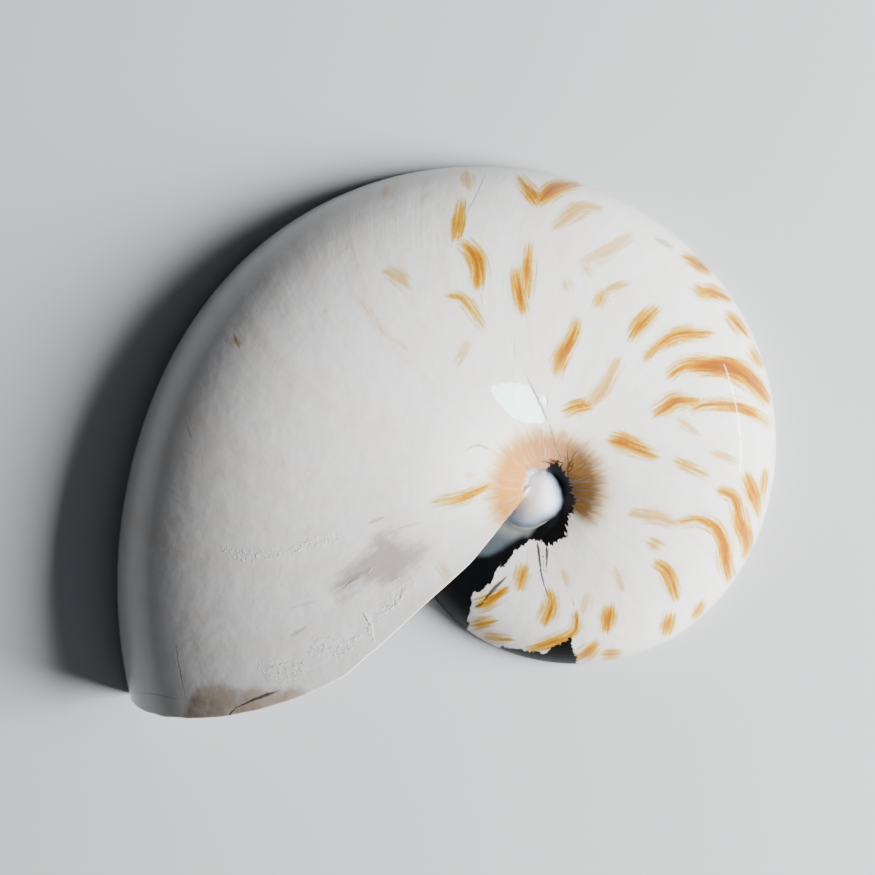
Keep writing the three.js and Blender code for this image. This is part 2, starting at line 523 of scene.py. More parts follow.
@dataclass
class CoilTrees:
    """The geometry node groups that grow the shell."""

    rule: GrowthRule
    hollows: Hollows
    lip: Lip
    callus: Callus
    steps: Steps

    def __post_init__(self) -> None:
        """Make the groups that the others use."""
        self.radius = self._radius_group()
        self.section = self._section_group()
        self.outside = self._outside_group()
        self.wall = self._wall_group()
        self.floor = self._floor_group()
        self.face = self._septum_face_group()
        self.block = self._block_group()
        self.place = self._place_group()

    def _group(self, name: str, inputs: dict, outputs: dict) -> Group:
        """Make a geometry node group."""
        return Group(name, "GeometryNodeTree", inputs, outputs)

    def _radius_group(self) -> Group:
        """The outer edge's radius at a growth angle, read off the spine.

        Returns:
            The group.
        """
        group = self._group(
            "Edge Radius",
            {"Spine": (Kind.GEOMETRY,), "Angle": (Kind.NUMBER, 0.0)},
            {"Radius": Kind.NUMBER},
        )
        place = (group.given("Angle") - self.steps.spine_start) / self.steps.spine
        stored = group.take(
            "GeometryNodeInputNamedAttribute", {"Name": "edge_radius"}, data_type="FLOAT"
        )
        first, second = (
            group.take(
                "GeometryNodeSampleIndex",
                {"Geometry": group.given("Spine"), "Value": stored, "Index": place.floor() + i},
                data_type="FLOAT",
                clamp=True,
            )
            for i in (0, 1)
        )
        group.gives(Radius=first.towards(second, place - place.floor()))
        return group

    def _section_group(self) -> Group:
        """The half section of the tube, in outer radii.

        Returns:
            The group.
        """
        rule = self.rule
        group = self._group(
            "Half Section",
            {
                "Round": (Kind.NUMBER, 0.0),
                "Edge": (Kind.NUMBER, 1.0),
                "Breadth": (Kind.NUMBER, rule.half_breadth),
                "Corner Radius": (Kind.NUMBER, rule.umbilicus_radius),
                "Corner Height": (Kind.NUMBER, rule.umbilicus_height),
                "Widest At": (Kind.NUMBER, rule.widest_at),
                "Squareness": (Kind.NUMBER, rule.squareness),
                "Shoulder Start": (Kind.NUMBER, rule.shoulder_start),
            },
            {"Radius": Kind.NUMBER, "Height": Kind.NUMBER},
        )
        round_, widest = group.given("Round"), group.given("Widest At")
        breadth, start = group.given("Breadth"), group.given("Shoulder Start")
        power = 2.0 / group.given("Squareness")
        flank = (round_ / start).clamped() * QUARTER_TURN
        shoulder = ((round_ - start) / (1.0 - start)).clamped() * QUARTER_TURN
        past = round_ > start
        side = widest + (group.given("Edge") - widest) * flank.cos().most(0.0) ** power
        top = breadth * flank.sin() ** power
        inner = widest - (widest - group.given("Corner Radius")) * shoulder.sin()
        low = group.given("Corner Height")
        low = low + (breadth - low) * shoulder.cos()
        group.gives(Radius=side.towards(inner, past), Height=top.towards(low, past))
        return group

    def _outside_group(self) -> Group:
        """A point of the outside of the shell.

        Returns:
            The group.
        """
        group = self._group(
            "Outside",
            {
                "Spine": (Kind.GEOMETRY,),
                "Angle": (Kind.NUMBER, 0.0),
                "Round": (Kind.NUMBER, 0.0),
                "Inset": (Kind.NUMBER, 0.0),
            },
            {"Radius": Kind.NUMBER, "Height": Kind.NUMBER},
        )
        edge = self._edge(group, group.given("Angle"))
        inset = group.given("Inset") / edge
        point = self.section.used_in(
            group.tree,
            Round=group.given("Round"),
            Edge=1.0 - inset,
            Breadth=self.rule.half_breadth - inset,
        )
        group.gives(Radius=point["Radius"] * edge, Height=point["Height"] * edge)
        return group

    def _wall_group(self) -> Group:
        """A point of the inside of the outer wall.

        Returns:
            The group.
        """
        sizes = self.hollows
        group = self._group(
            "Wall Inside",
            {
                "Spine": (Kind.GEOMETRY,),
                "Angle": (Kind.NUMBER, 0.0),
                "Round": (Kind.NUMBER, 0.0),
                "Wall At Start": (Kind.NUMBER, sizes.wall_at_start),
                "Wall Per Radius": (Kind.NUMBER, sizes.wall_per_radius),
            },
            {"Radius": Kind.NUMBER, "Height": Kind.NUMBER},
        )
        edge = self._edge(group, group.given("Angle"))
        wall = group.given("Wall Per Radius") + group.given("Wall At Start") / edge
        point = self.section.used_in(
            group.tree,
            Round=group.given("Round"),
            Edge=1.0 - wall,
            Breadth=self.rule.half_breadth - wall,
            Corner_Radius=sizes.corner_top[0],
            Corner_Height=sizes.corner_top[1],
        )
        group.gives(Radius=point["Radius"] * edge, Height=point["Height"] * edge)
        return group

    def _floor_group(self) -> Group:
        """A point of a chamber's floor: the turn inside it, with a thin coat.

        Returns:
            The group.
        """
        sizes, start = self.hollows, self.rule.shoulder_start
        group = self._group(
            "Chamber Floor",
            {
                "Spine": (Kind.GEOMETRY,),
                "Angle": (Kind.NUMBER, 0.0),
                "Round": (Kind.NUMBER, 0.0),
                "Coat Per Radius": (Kind.NUMBER, sizes.coat_per_radius),
            },
            {"Radius": Kind.NUMBER, "Height": Kind.NUMBER},
        )
        spine, angle, round_ = (group.given(label) for label in ("Spine", "Angle", "Round"))
        edge = self._edge(group, angle)
        inner = self.outside.used_in(
            group.tree, Spine=spine, Angle=angle - 360.0, Round=round_.least(start)
        )
        coat = group.given("Coat Per Radius") + 1.0
        past = ((round_ - start) / (1.0 - start)).clamped()
        group.gives(
            Radius=(inner["Radius"] * coat).towards(edge * sizes.corner_foot[0], past),
            Height=(inner["Height"] * coat).towards(edge * sizes.corner_foot[1], past),
        )
        return group

    def _septum_face_group(self) -> Group:
        """The growth angle of one side of a septum, a dish that bulges back.

        Returns:
            The group.
        """
        sizes = self.hollows
        group = self._group(
            "Septum Face",
            {
                "Spine": (Kind.GEOMETRY,),
                "Angle": (Kind.NUMBER, 0.0),
                "Round": (Kind.NUMBER, 0.0),
                "Out": (Kind.NUMBER, 0.0),
                "Side": (Kind.NUMBER, 1.0),
                "Dish": (Kind.NUMBER, sizes.dish),
            },
            {"Angle": Kind.NUMBER},
        )
        spine, angle, round_, out = (
            group.given(label) for label in ("Spine", "Angle", "Round", "Out")
        )
        edge = self._edge(group, angle)
        floor = self.floor.used_in(group.tree, Spine=spine, Angle=angle, Round=round_)
        wall = self.wall.used_in(group.tree, Spine=spine, Angle=angle, Round=round_)
        radius = floor["Radius"].towards(wall["Radius"], out).most(edge * sizes.nearest_axis)
        thickness = edge * sizes.septum_per_radius + sizes.septum_at_start
        dish = group.given("Dish") * 4.0 * out * (1.0 - out) * (1.0 - round_ * round_)
        half = thickness / radius * (DEGREES / 2)
        group.gives(Angle=angle - dish + group.given("Side") * half)
        return group

    def _block_group(self) -> Group:
        """A unit block that knows how far round, out and along each of its points is.

        Returns:
            The group.
        """
        group = self._group(
            "Growth Block",
            {
                "Steps Round": (Kind.COUNT, 20),
                "Steps Out": (Kind.COUNT, 8),
                "Steps Along": (Kind.COUNT, 5),
            },
            {"Geometry": Kind.GEOMETRY},
        )
        mesh = group.take(
            "GeometryNodeMeshCube",
            {
                "Size": (1.0, 1.0, 1.0),
                "Vertices X": group.given("Steps Round") + 1,
                "Vertices Y": group.given("Steps Out") + 1,
                "Vertices Z": group.given("Steps Along") + 1,
            },
        )
        for name, part in zip(("round", "out", "along"), self._position(group)):
            mesh = self._stored(group, mesh, name, part + 0.5)
        group.gives(Geometry=mesh)
        return group

    def _place_group(self) -> Group:
        """A section point set at its growth angle round the axis.

        Returns:
            The group.
        """
        group = self._group(
            "Round The Axis",
            {
                "Angle": (Kind.NUMBER, 0.0),
                "Radius": (Kind.NUMBER, 0.0),
                "Height": (Kind.NUMBER, 0.0),
            },
            {"Position": Kind.VECTOR},
        )
        turn, radius = group.given("Angle").radians(), group.given("Radius")
        group.gives(
            Position=group.take(
                "ShaderNodeCombineXYZ",
                {0: radius * turn.cos(), 1: radius * turn.sin(), 2: group.given("Height")},
            )
        )
        return group

    def _stored(self, group: Group, mesh: Term, name: str, value: Term) -> Term:
        """Store a number on the points of a mesh."""
        inputs = {"Geometry": mesh, "Name": name, "Value": value}
        return group.take("GeometryNodeStoreNamedAttribute", inputs, data_type="FLOAT")

    def _read(self, group: Group, name: str) -> Term:
        """Read a number stored on the points."""
        return group.take("GeometryNodeInputNamedAttribute", {"Name": name}, data_type="FLOAT")

    def _position(self, group: Group) -> tuple[Term, ...]:
        """Where each point of a mesh is.

        Args:
            group: the group to work in.

        Returns:
            The place in three parts.
        """
        place = group.take("GeometryNodeInputPosition", {})
        split = group.node("ShaderNodeSeparateXYZ", {0: place})
        return tuple(Term(group.tree, output) for output in split.outputs)

    def _copied(self, group: Group, mesh: Term, points: Term) -> Term:
        """Put a copy of a mesh at every point.

        Args:
            group: the group to work in.
            mesh: the mesh to copy.
            points: the points.

        Returns:
            The copies as one mesh.
        """
        inputs = {"Points": points, "Instance": mesh}
        copies = group.take("GeometryNodeInstanceOnPoints", inputs)
        return group.take("GeometryNodeRealizeInstances", {"Geometry": copies})

    def _rod(self, group: Group, sides: int, steps: int) -> Term:
        """An upright cylinder of radius 1 and height 1."""
        inputs = {"Vertices": sides, "Side Segments": steps, "Radius": 1.0, "Depth": 1.0}
        return group.take("GeometryNodeMeshCylinder", inputs)

    def _edge(self, group: Group, angle: Term) -> Term:
        """The outer edge's radius at a growth angle."""
        spine = group.given("Spine")
        return self.radius.used_in(group.tree, Spine=spine, Angle=angle)["Radius"]

    def _moved(self, group: Group, mesh: Term, angle: Term, radius: Term, height: Term) -> Term:
        """Move a mesh's points to their places round the axis.

        Args:
            group: the group to work in.
            mesh: the mesh.
            angle: the points' growth angle.
            radius: how far they are from the axis.
            height: how far they are above the cut.

        Returns:
            The moved mesh.
        """
        place = self.place.used_in(group.tree, Angle=angle, Radius=radius, Height=height)
        inputs = {"Geometry": mesh, "Position": place["Position"]}
        return group.take("GeometryNodeSetPosition", inputs)

    def _faced(self, group: Group, mesh: Term, zone: Zone) -> Term:
        """Mark a mesh's faces with their zone."""
        inputs = {"Geometry": mesh, "Name": "zone", "Value": list(Zone).index(zone)}
        return group.take(
            "GeometryNodeStoreNamedAttribute", inputs, data_type="INT", domain="FACE"
        )

    def _feet(self, group: Group, rounds: int) -> tuple[Term, Term]:
        """How far round the flank the points are, and which of them are the feet.

        Args:
            group: the group to work in.
            rounds: the steps round the flank, to which the feet add one.

        Returns:
            The place round the flank, and 1 at the feet.
        """
        steps = self._read(group, "round") * (rounds + 1.0)
        return ((steps - 1.0) / float(rounds)).most(0.0), steps < 0.5

    def _lip_angle(self, group: Group, round_: Term) -> Term:
        """The growth angle of the lip, a little uneven.

        Args:
            group: the group to work in.
            round_: how far round the flank.

        Returns:
            The angle in degrees.
        """
        lip = self.lip
        forward = (round_ / lip.fully_forward).least(1.0) ** lip.forward_power * lip.forward
        back = (round_ - lip.turns_back).most(0.0) ** 2.0 * lip.turn_back
        noise = group.take(
            "ShaderNodeTexNoise",
            {"W": round_ * lip.wobble_scale + group.given("Seed"), "Detail": 4.0, "Scale": 1.0},
            noise_dimensions="1D",
        )
        return forward - back + (noise - 0.5) * lip.wobble + lip.at_edge

    def _turn(self, group: Group, start: float, knee: float, end: Value, to_lip: bool) -> Term:
        """A length of the solid turn.

        Args:
            group: the group to work in.
            start: its first growth angle.
            knee: where the size of its steps changes.
            end: its last growth angle.
            to_lip: whether it ends at the lip.

        Returns:
            The mesh.
        """
        steps = self.steps
        if to_lip:
            foremost = self.lip.at_edge + self.lip.forward
            counts = ((knee - start) / steps.fine, (foremost - knee) / steps.coarse)
        else:
            counts = ((knee - start) / steps.coarse, (0.0 - knee) / steps.fine)
        first, second = (round(count) for count in counts)
        share = first / (first + second)
        mesh = self.block.used_in(
            group.tree,
            Steps_Round=steps.round_outside + 1,
            Steps_Out=1,
            Steps_Along=first + second,
        )["Geometry"]
        round_, foot = self._feet(group, steps.round_outside)
        out, along = self._read(group, "out"), self._read(group, "along")
        if to_lip:
            end = end - (1.0 - out) * self.lip.core_behind
        late = ((along - share) / (1 - share)).clamped()
        if to_lip:
            late = 1.0 - (1.0 - late) ** steps.ease_to_lip
        angle = (along / share).clamped() * (knee - start) + start
        angle = angle + (end - knee) * late
        spine = group.given("Spine")
        edge = self._edge(group, angle)
        inset: Value = 0.0
        if to_lip:
            rest = (end - angle).radians() * edge / self.lip.edge_round
            inset = (1.0 - (1.0 - (1.0 - rest.clamped()) ** 2.0) ** 0.5) * self.lip.edge_round
        outer = self.outside.used_in(
            group.tree, Spine=spine, Angle=angle, Round=round_, Inset=inset
        )
        core_radius = edge * self.hollows.core_per_radius
        core_height = edge * round_ * self.rule.umbilicus_height
        radius = core_radius.towards(outer["Radius"], out)
        height = core_height.towards(outer["Height"], out)
        height = height.towards(steps.below_the_cut, foot)
        return self._faced(group, self._moved(group, mesh, angle, radius, height), Zone.OUTSIDE)

    def _space(self, group: Group, mesh: Term, back: Term, front: Value) -> Term:
        """Bend a block into a space inside the turn.

        Args:
            group: the group to work in.
            mesh: the block, or many of them.
            back: the growth angle of the septum behind it.
            front: the growth angle of the septum in front, or None where it runs past the lip.

        Returns:
            The mesh.
        """
        spine, steps = group.given("Spine"), self.steps
        round_, foot = self._feet(group, steps.round_inside)
        out, along = self._read(group, "out"), self._read(group, "along")
        shared = {"Spine": spine, "Round": round_, "Out": out}
        start = self.face.used_in(group.tree, Angle=back, Side=1.0, **shared)["Angle"]
        end: Value = self.lip.past
        if front is not None:
            end = self.face.used_in(group.tree, Angle=front, Side=-1.0, **shared)["Angle"]
        angle = start.towards(end, along)
        where = {"Spine": spine, "Angle": angle, "Round": round_}
        floor = self.floor.used_in(group.tree, **where)
        wall = self.wall.used_in(group.tree, **where)
        radius = floor["Radius"].towards(wall["Radius"], out)
        height = floor["Height"].towards(wall["Height"], out)
        height = height.towards(steps.below_the_cut, foot)
        return self._faced(group, self._moved(group, mesh, angle, radius, height), Zone.INSIDE)

    def _septum_points(self, group: Group) -> Term:
        """One point for each septum, which knows its own angle and the one behind it.

        Args:
            group: the group to work in.

        Returns:
            The points.
        """
        sizes = self.hollows
        index = group.take("GeometryNodeInputIndex", {})
        one = Term(group.tree, index.socket) + 0.0

        def gap(number: Term) -> Term:
            """The growth between a septum and the one in front of it.

            Args:
                number: the septum, counted back from the last.

            Returns:
                The gap in degrees.
            """
            share = number / float(sizes.septa)
            value = share * share * sizes.extra_gap_at_start + sizes.gap
            value = value.towards(sizes.last_gaps[1], number < 2.5)
            value = value.towards(sizes.last_gaps[0], number < 1.5)
            return value.towards(0.0, number < 0.5)

        line = group.take(
            "GeometryNodeMeshLine", {"Count": group.given("Septa"), "Offset": (0.0, 0.0, 0.0)}
        )
        total = group.take(
            "GeometryNodeAccumulateField", {"Value": gap(one)}, "Leading", data_type="FLOAT"
        )
        front = group.given("Last Septum") - total
        is_first = one > group.given("Septa") - 1.5
        back = front - gap(one + 1.0).towards(sizes.first_chamber, is_first)
        line = self._stored(group, line, "front", front)
        return self._stored(group, line, "back", back)

    def _chambers(self, group: Group, points: Term) -> Term:
        """The closed chambers, one behind each septum.

        Args:
            group: the group to work in.
            points: one point for each septum.

        Returns:
            The mesh.
        """
        steps = self.steps
        block = self.block.used_in(
            group.tree,
            Steps_Round=steps.round_inside + 1,
            Steps_Out=steps.out_inside,
            Steps_Along=steps.chamber,
        )["Geometry"]
        mesh = self._copied(group, block, points)
        return self._space(group, mesh, self._read(group, "back"), self._read(group, "front"))

    def _tube(self, group: Group, mesh: Term, angle: Term, size: float) -> Term:
        """Bend an upright cylinder of radius 1 into a tube on the siphuncle's line.

        Args:
            group: the group to work in.
            mesh: the cylinder, or many of them.
            angle: the growth angle along it.
            size: the tube's radius, in outer radii.

        Returns:
            The mesh.
        """
        across, up, _ = self._position(group)
        where = {"Spine": group.given("Spine"), "Angle": angle}
        edge = self._edge(group, angle)
        floor = self.floor.used_in(group.tree, **where)["Radius"]
        wall = self.wall.used_in(group.tree, **where)["Radius"]
        radius = floor.towards(wall, self.hollows.bore_height) + across * edge * size
        height = up * edge * (0.0 - size)
        return self._faced(group, self._moved(group, mesh, angle, radius, height), Zone.INSIDE)

    def _necks(self, group: Group, points: Term) -> Term:
        """The short neck that each septum sends back round the siphuncle.

        Args:
            group: the group to work in.
            points: one point for each septum.

        Returns:
            The mesh.
        """
        sizes = self.hollows
        mesh = self._copied(group, self._rod(group, self.steps.neck_sides, self.steps.neck), points)
        bulge = sizes.dish * 4 * sizes.bore_height * (1 - sizes.bore_height)
        along = self._position(group)[2] - 0.5
        angle = self._read(group, "front") - bulge + along * sizes.neck_length
        return self._tube(group, mesh, angle, sizes.neck_radius)

    def _bore(self, group: Group) -> Term:
        """The siphuncle's bore through every septum.

        Args:
            group: the group to work in.

        Returns:
            The mesh.
        """
        sizes = self.hollows
        length = sizes.septa * (sizes.gap + sizes.extra_gap_at_start / 3) + sizes.bore_past
        rod = self._rod(group, self.steps.bore_sides, round(length / self.steps.bore))
        along = self._position(group)[2] - 0.5
        angle = group.given("Last Septum") + along * length
        return self._tube(group, rod, angle, sizes.bore_radius)

    def _callus_mesh(self, group: Group) -> Term:
        """The mound in the umbilicus, as a block under a smooth top.

        Args:
            group: the group to work in.

        Returns:
            The mesh.
        """
        sizes, rule = self.callus, self.rule
        block = self.block.used_in(
            group.tree, Steps_Round=self.steps.callus, Steps_Out=self.steps.callus, Steps_Along=1
        )["Geometry"]
        size = 2.0 * sizes.half_size
        x = (self._read(group, "round") - 0.5) * size
        y = (self._read(group, "out") - 0.5) * size
        turn = y.angle(x) * DEGREES
        angle = turn - (turn > 0.0) * 360.0
        edge = self._edge(group, angle)
        out = y.reach(x) / edge
        power = rule.squareness
        side = ((out - rule.widest_at) / (1 - rule.widest_at)).clamped()
        flank = (1.0 - side**power).most(0.0) ** (1 / power) * rule.half_breadth
        inwards = (rule.widest_at - out) / (rule.widest_at - rule.umbilicus_radius)
        inwards = inwards.clamped()
        bowl = (1.0 - inwards * inwards).most(0.0) ** 0.5
        bowl = bowl * (rule.half_breadth - rule.umbilicus_height) + rule.umbilicus_height
        below = bowl.towards(flank, out > rule.widest_at) * edge
        across = (x - sizes.centre[0]).most(0.0) / sizes.reach[0]
        across = across + (sizes.centre[0] - x).most(0.0) / sizes.reach_back
        down = (y - sizes.centre[1]) / sizes.reach[1]
        dome = (1.0 - across * across - down * down) * sizes.top
        inputs = {0: dome, 1: below, 2: sizes.blend}
        top = group.take("ShaderNodeMath", inputs, operation="SMOOTH_MAX") - sizes.sunk
        along = self._read(group, "along")
        foot = self.steps.below_the_cut
        height = (1.0 - along) * foot + along * top.most(foot / 2)
        place = group.take("ShaderNodeCombineXYZ", {0: x, 1: y, 2: height})
        inputs = {"Geometry": block, "Position": place}
        return self._faced(group, group.take("GeometryNodeSetPosition", inputs), Zone.CALLUS)

    def _pillar(self, group: Group) -> Term:
        """The solid pillar round the coiling axis.

        Args:
            group: the group to work in.

        Returns:
            The mesh.
        """
        sizes = self.callus
        depth = sizes.pillar_height - self.steps.below_the_cut
        post = group.take(
            "GeometryNodeMeshCylinder",
            {"Vertices": self.steps.pillar_sides, "Radius": sizes.pillar_radius, "Depth": depth},
        )
        middle = (0.0, 0.0, sizes.pillar_height - depth / 2)
        post = group.take("GeometryNodeTransform", {"Geometry": post, "Translation": middle})
        return self._faced(group, post, Zone.CALLUS)

    def _joined(self, group: Group, operation: str, first: Value, others: Iterable[Term]) -> Term:
        """Join or cut closed meshes.

        Args:
            group: the group to work in.
            operation: whether to join, cut or keep what is shared.
            first: the mesh to cut, or None.
            others: the other meshes.

        Returns:
            The resulting mesh.
        """
        inputs: dict = {"Mesh 2": list(others)}
        if first is not None:
            inputs["Mesh 1"] = first
        return group.take(
            "GeometryNodeMeshBoolean", inputs, operation=operation, solver="MANIFOLD"
        )

    def _without_crumbs(self, group: Group, mesh: Term) -> Term:
        """Drop the slivers that the cuts leave loose, which have few points.

        Args:
            group: the group to work in.
            mesh: the mesh to clean.

        Returns:
            The clean mesh.
        """
        island = group.take("GeometryNodeInputMeshIsland", {}, "Island Index")
        inputs = {"Value": 1.0, "Group ID": island}
        size = group.take("GeometryNodeAccumulateField", inputs, "Total", data_type="FLOAT")
        inputs = {"Geometry": mesh, "Selection": size < self.steps.crumb}
        return group.take("GeometryNodeDeleteGeometry", inputs)

    def shell(self, axis: Place) -> Group:
        """The whole half.

        Args:
            axis: where the coiling axis stands in the frame, in millimetres.

        Returns:
            The group, which takes the spine and gives the half in metres.
        """
        group = self._group(
            "Nautilus Half",
            {
                "Spine": (Kind.GEOMETRY,),
                "Septa": (Kind.COUNT, self.hollows.septa),
                "Last Septum": (Kind.NUMBER, self.hollows.last_septum),
                "Seed": (Kind.NUMBER, 0.0),
            },
            {"Geometry": Kind.GEOMETRY},
        )
        steps = self.steps
        round_, _ = self._feet(group, steps.round_outside)
        lip = self._lip_angle(group, round_)
        early = self._turn(group, steps.shell_start, steps.fine_from, 0.0, to_lip=False)
        late = self._turn(group, 0.0, steps.fine_to, lip, to_lip=True)
        points = self._septum_points(group)
        behind = group.given("Last Septum")
        block = self.block.used_in(
            group.tree,
            Steps_Round=steps.round_inside + 1,
            Steps_Out=steps.out_inside,
            Steps_Along=steps.body_chamber,
        )["Geometry"]
        body_chamber = self._space(group, block, behind, None)
        mass = self._joined(group, "UNION", None, [early, late, self._pillar(group)])
        mass = self._joined(group, "DIFFERENCE", mass, [body_chamber])
        mass = self._joined(group, "UNION", None, [mass, self._callus_mesh(group)])
        mass = self._joined(group, "DIFFERENCE", mass, [self._chambers(group, points)])
        mass = self._joined(group, "UNION", None, [mass, self._necks(group, points)])
        mass = self._joined(group, "DIFFERENCE", mass, [self._bore(group)])
        size = steps.cutter
        keep = group.take("GeometryNodeMeshCube", {"Size": (size, size, size)})
        keep = group.take(
            "GeometryNodeTransform", {"Geometry": keep, "Translation": (0.0, 0.0, size / 2)}
        )
        keep = self._faced(group, keep, Zone.SAWN)
        half = self._joined(group, "INTERSECT", None, [mass, keep])
        half = self._without_crumbs(group, half)
        half = group.take(
            "GeometryNodeTransform",
            {
                "Geometry": half,
                "Scale": (MILLIMETRE,) * 3,
                "Translation": (axis[0] * MILLIMETRE, axis[1] * MILLIMETRE, 0.0),
            },
        )
        half = group.take("GeometryNodeRealizeInstances", {"Geometry": half})
        outside = bpy.data.materials[Zone.OUTSIDE.value]
        group.gives(
            Geometry=group.take("GeometryNodeSetMaterial", {"Geometry": half, "Material": outside})
        )
        return group


@dataclass
class ShellHalf:
    """The shell half: one piece, with an outside, an inside, a sawn edge and a callus."""

    axis: Place = (20.936, -11.459)
    seed: float = 4.0
    smooth_below: float = 32.0
    rule: GrowthRule = field(default_factory=GrowthRule)
    hollows: Hollows = field(default_factory=Hollows)
    lip: Lip = field(default_factory=Lip)
    callus: Callus = field(default_factory=Callus)
    steps: Steps = field(default_factory=Steps)

    def spine(self) -> bpy.types.Mesh:
        """The growth spiral as a line of points that know the outer radius.

        Returns:
            The line.
        """
        count = round((self.steps.spine_end - self.steps.spine_start) / self.steps.spine) + 1
        angles = self.steps.spine_start + self.steps.spine * np.arange(count)
        radii = self.rule.outer_radius(angles)
        turns = np.radians(angles)
        places = np.stack([radii * np.cos(turns), radii * np.sin(turns), 0 * radii], axis=1)
        mesh = bpy.data.meshes.new("shell_spine")
        mesh.from_pydata(places.tolist(), [(i, i + 1) for i in range(count - 1)], [])
        mesh.attributes.new("edge_radius", "FLOAT", "POINT").data.foreach_set("value", radii)
        return mesh

    def build(self, materials: Sequence[bpy.types.Material]) -> bpy.types.Object:
        """Grow the half from its rule.

        Args:
            materials: the material of each zone, in order.

        Returns:
            The piece, with a plain mesh.
        """
        trees = CoilTrees(self.rule, self.hollows, self.lip, self.callus, self.steps)
        group = trees.shell(self.axis)
        piece = bpy.data.objects.new("nautilus_half", self.spine())
        bpy.context.scene.collection.objects.link(piece)
        modifier = piece.modifiers.new("grow", "NODES")
        modifier.node_group = group.tree
        values = {"Septa": self.hollows.septa, "Last Septum": self.hollows.last_septum}
        values["Seed"] = self.seed
        for item in group.tree.interface.items_tree:
            if item.in_out == "INPUT" and item.name in values:
                modifier[item.identifier] = values[item.name]
        graph = bpy.context.evaluated_depsgraph_get()
        mesh = bpy.data.meshes.new_from_object(piece.evaluated_get(graph))
        spine = piece.data
        piece.modifiers.remove(modifier)
        piece.data = mesh
        bpy.data.meshes.remove(spine)
        mesh.name = "nautilus_half"
        zones = np.empty(len(mesh.polygons), np.int32)
        mesh.attributes["zone"].data.foreach_get("value", zones)
        mesh.attributes.remove(mesh.attributes["zone"])
        mesh.materials.clear()
        for material in materials:
            mesh.materials.append(material)
        mesh.polygons.foreach_set("material_index", zones)
        for name in ("round", "out", "along", "front", "back", "edge_radius"):
            if name in mesh.attributes:
                mesh.attributes.remove(mesh.attributes[name])
        mesh.shade_smooth()
        mesh.set_sharp_from_angle(angle=math.radians(self.smooth_below))
        return piece


@dataclass(frozen=True)
class SoftLight:
    """A flat light, as wide and as high as its size says."""

    name: str
    place: Spot
    size: tuple[float, float]
    power: float
    colour: Colour = (1.0, 1.0, 1.0)
    in_gloss: bool = True

    def build(self) -> None:
        """Hang the light and turn it to the origin."""
        lamp = bpy.data.lights.new(self.name, "AREA")
        lamp.shape = "RECTANGLE"
        lamp.size, lamp.size_y = self.size
        lamp.energy = self.power
        lamp.color = self.colour
        light = bpy.data.objects.new(self.name, lamp)
        light.location = self.place
        light.visible_glossy = self.in_gloss
        light.rotation_euler = Vector(self.place).to_track_quat("Z", "Y").to_euler()
        bpy.context.scene.collection.objects.link(light)


@dataclass(frozen=True)
class Studio:
    """A pale floor, soft light from a window side, and the camera straight above."""

    camera_place: Spot = (-0.00212, -0.00043, 0.450)
    lens: float = 83.1
    floor_size: float = 3.0
    floor_colour: Paint = paint(168, 170, 173)
    floor_roughness: float = 0.9
    sky_colour: Paint = paint(225, 232, 245)
    sky_strength: float = 0.06
    lights: tuple[SoftLight, ...] = (
        SoftLight("window", (0.70, -0.09, 0.41), (0.45, 0.45), 44.0, (1.0, 0.995, 0.98), False),
        SoftLight("fill", (0.40, -0.25, 0.75), (0.6, 0.6), 1.0, (0.90, 0.95, 1.0)),
        SoftLight("strip", (0.72, 0.03, 0.33), (0.34, 0.016), 1.6),
    )

    def build(self) -> None:
        """Build the floor, the sky, the lights and the camera."""
        mesh = bpy.data.meshes.new("floor")
        half = self.floor_size / 2
        corners = [(-half, -half, 0.0), (half, -half, 0.0), (half, half, 0.0), (-half, half, 0.0)]
        mesh.from_pydata(corners, [], [(0, 1, 2, 3)])
        floor = bpy.data.objects.new("floor", mesh)
        material = bpy.data.materials.new("floor")
        material.use_nodes = True
        surface = material.node_tree.nodes["Principled BSDF"]
        surface.inputs["Base Color"].default_value = self.floor_colour
        surface.inputs["Roughness"].default_value = self.floor_roughness
        mesh.materials.append(material)
        scene = bpy.context.scene
        scene.collection.objects.link(floor)
        floor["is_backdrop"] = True
        scene.world = bpy.data.worlds.new("sky")
        scene.world.use_nodes = True
        sky = scene.world.node_tree.nodes["Background"]
        sky.inputs["Color"].default_value = self.sky_colour
        sky.inputs["Strength"].default_value = self.sky_strength
        for light in self.lights:
            light.build()
        lens = bpy.data.cameras.new("camera")
        lens.lens = self.lens
        camera = bpy.data.objects.new("camera", lens)
        camera.location = self.camera_place
        scene.collection.objects.link(camera)
        scene.camera = camera


@dataclass(frozen=True)
class Stroke:
    """A stroke of pigment or a crack, drawn on the shell from above."""

    points: tuple[Place, ...]
    width: float
    depth: float
    belly: float = 0.5


@dataclass(frozen=True)
class Patch:
    """A closed area of the surface, drawn from above."""

    name: str
    outlines: tuple[tuple[Place, ...], ...]


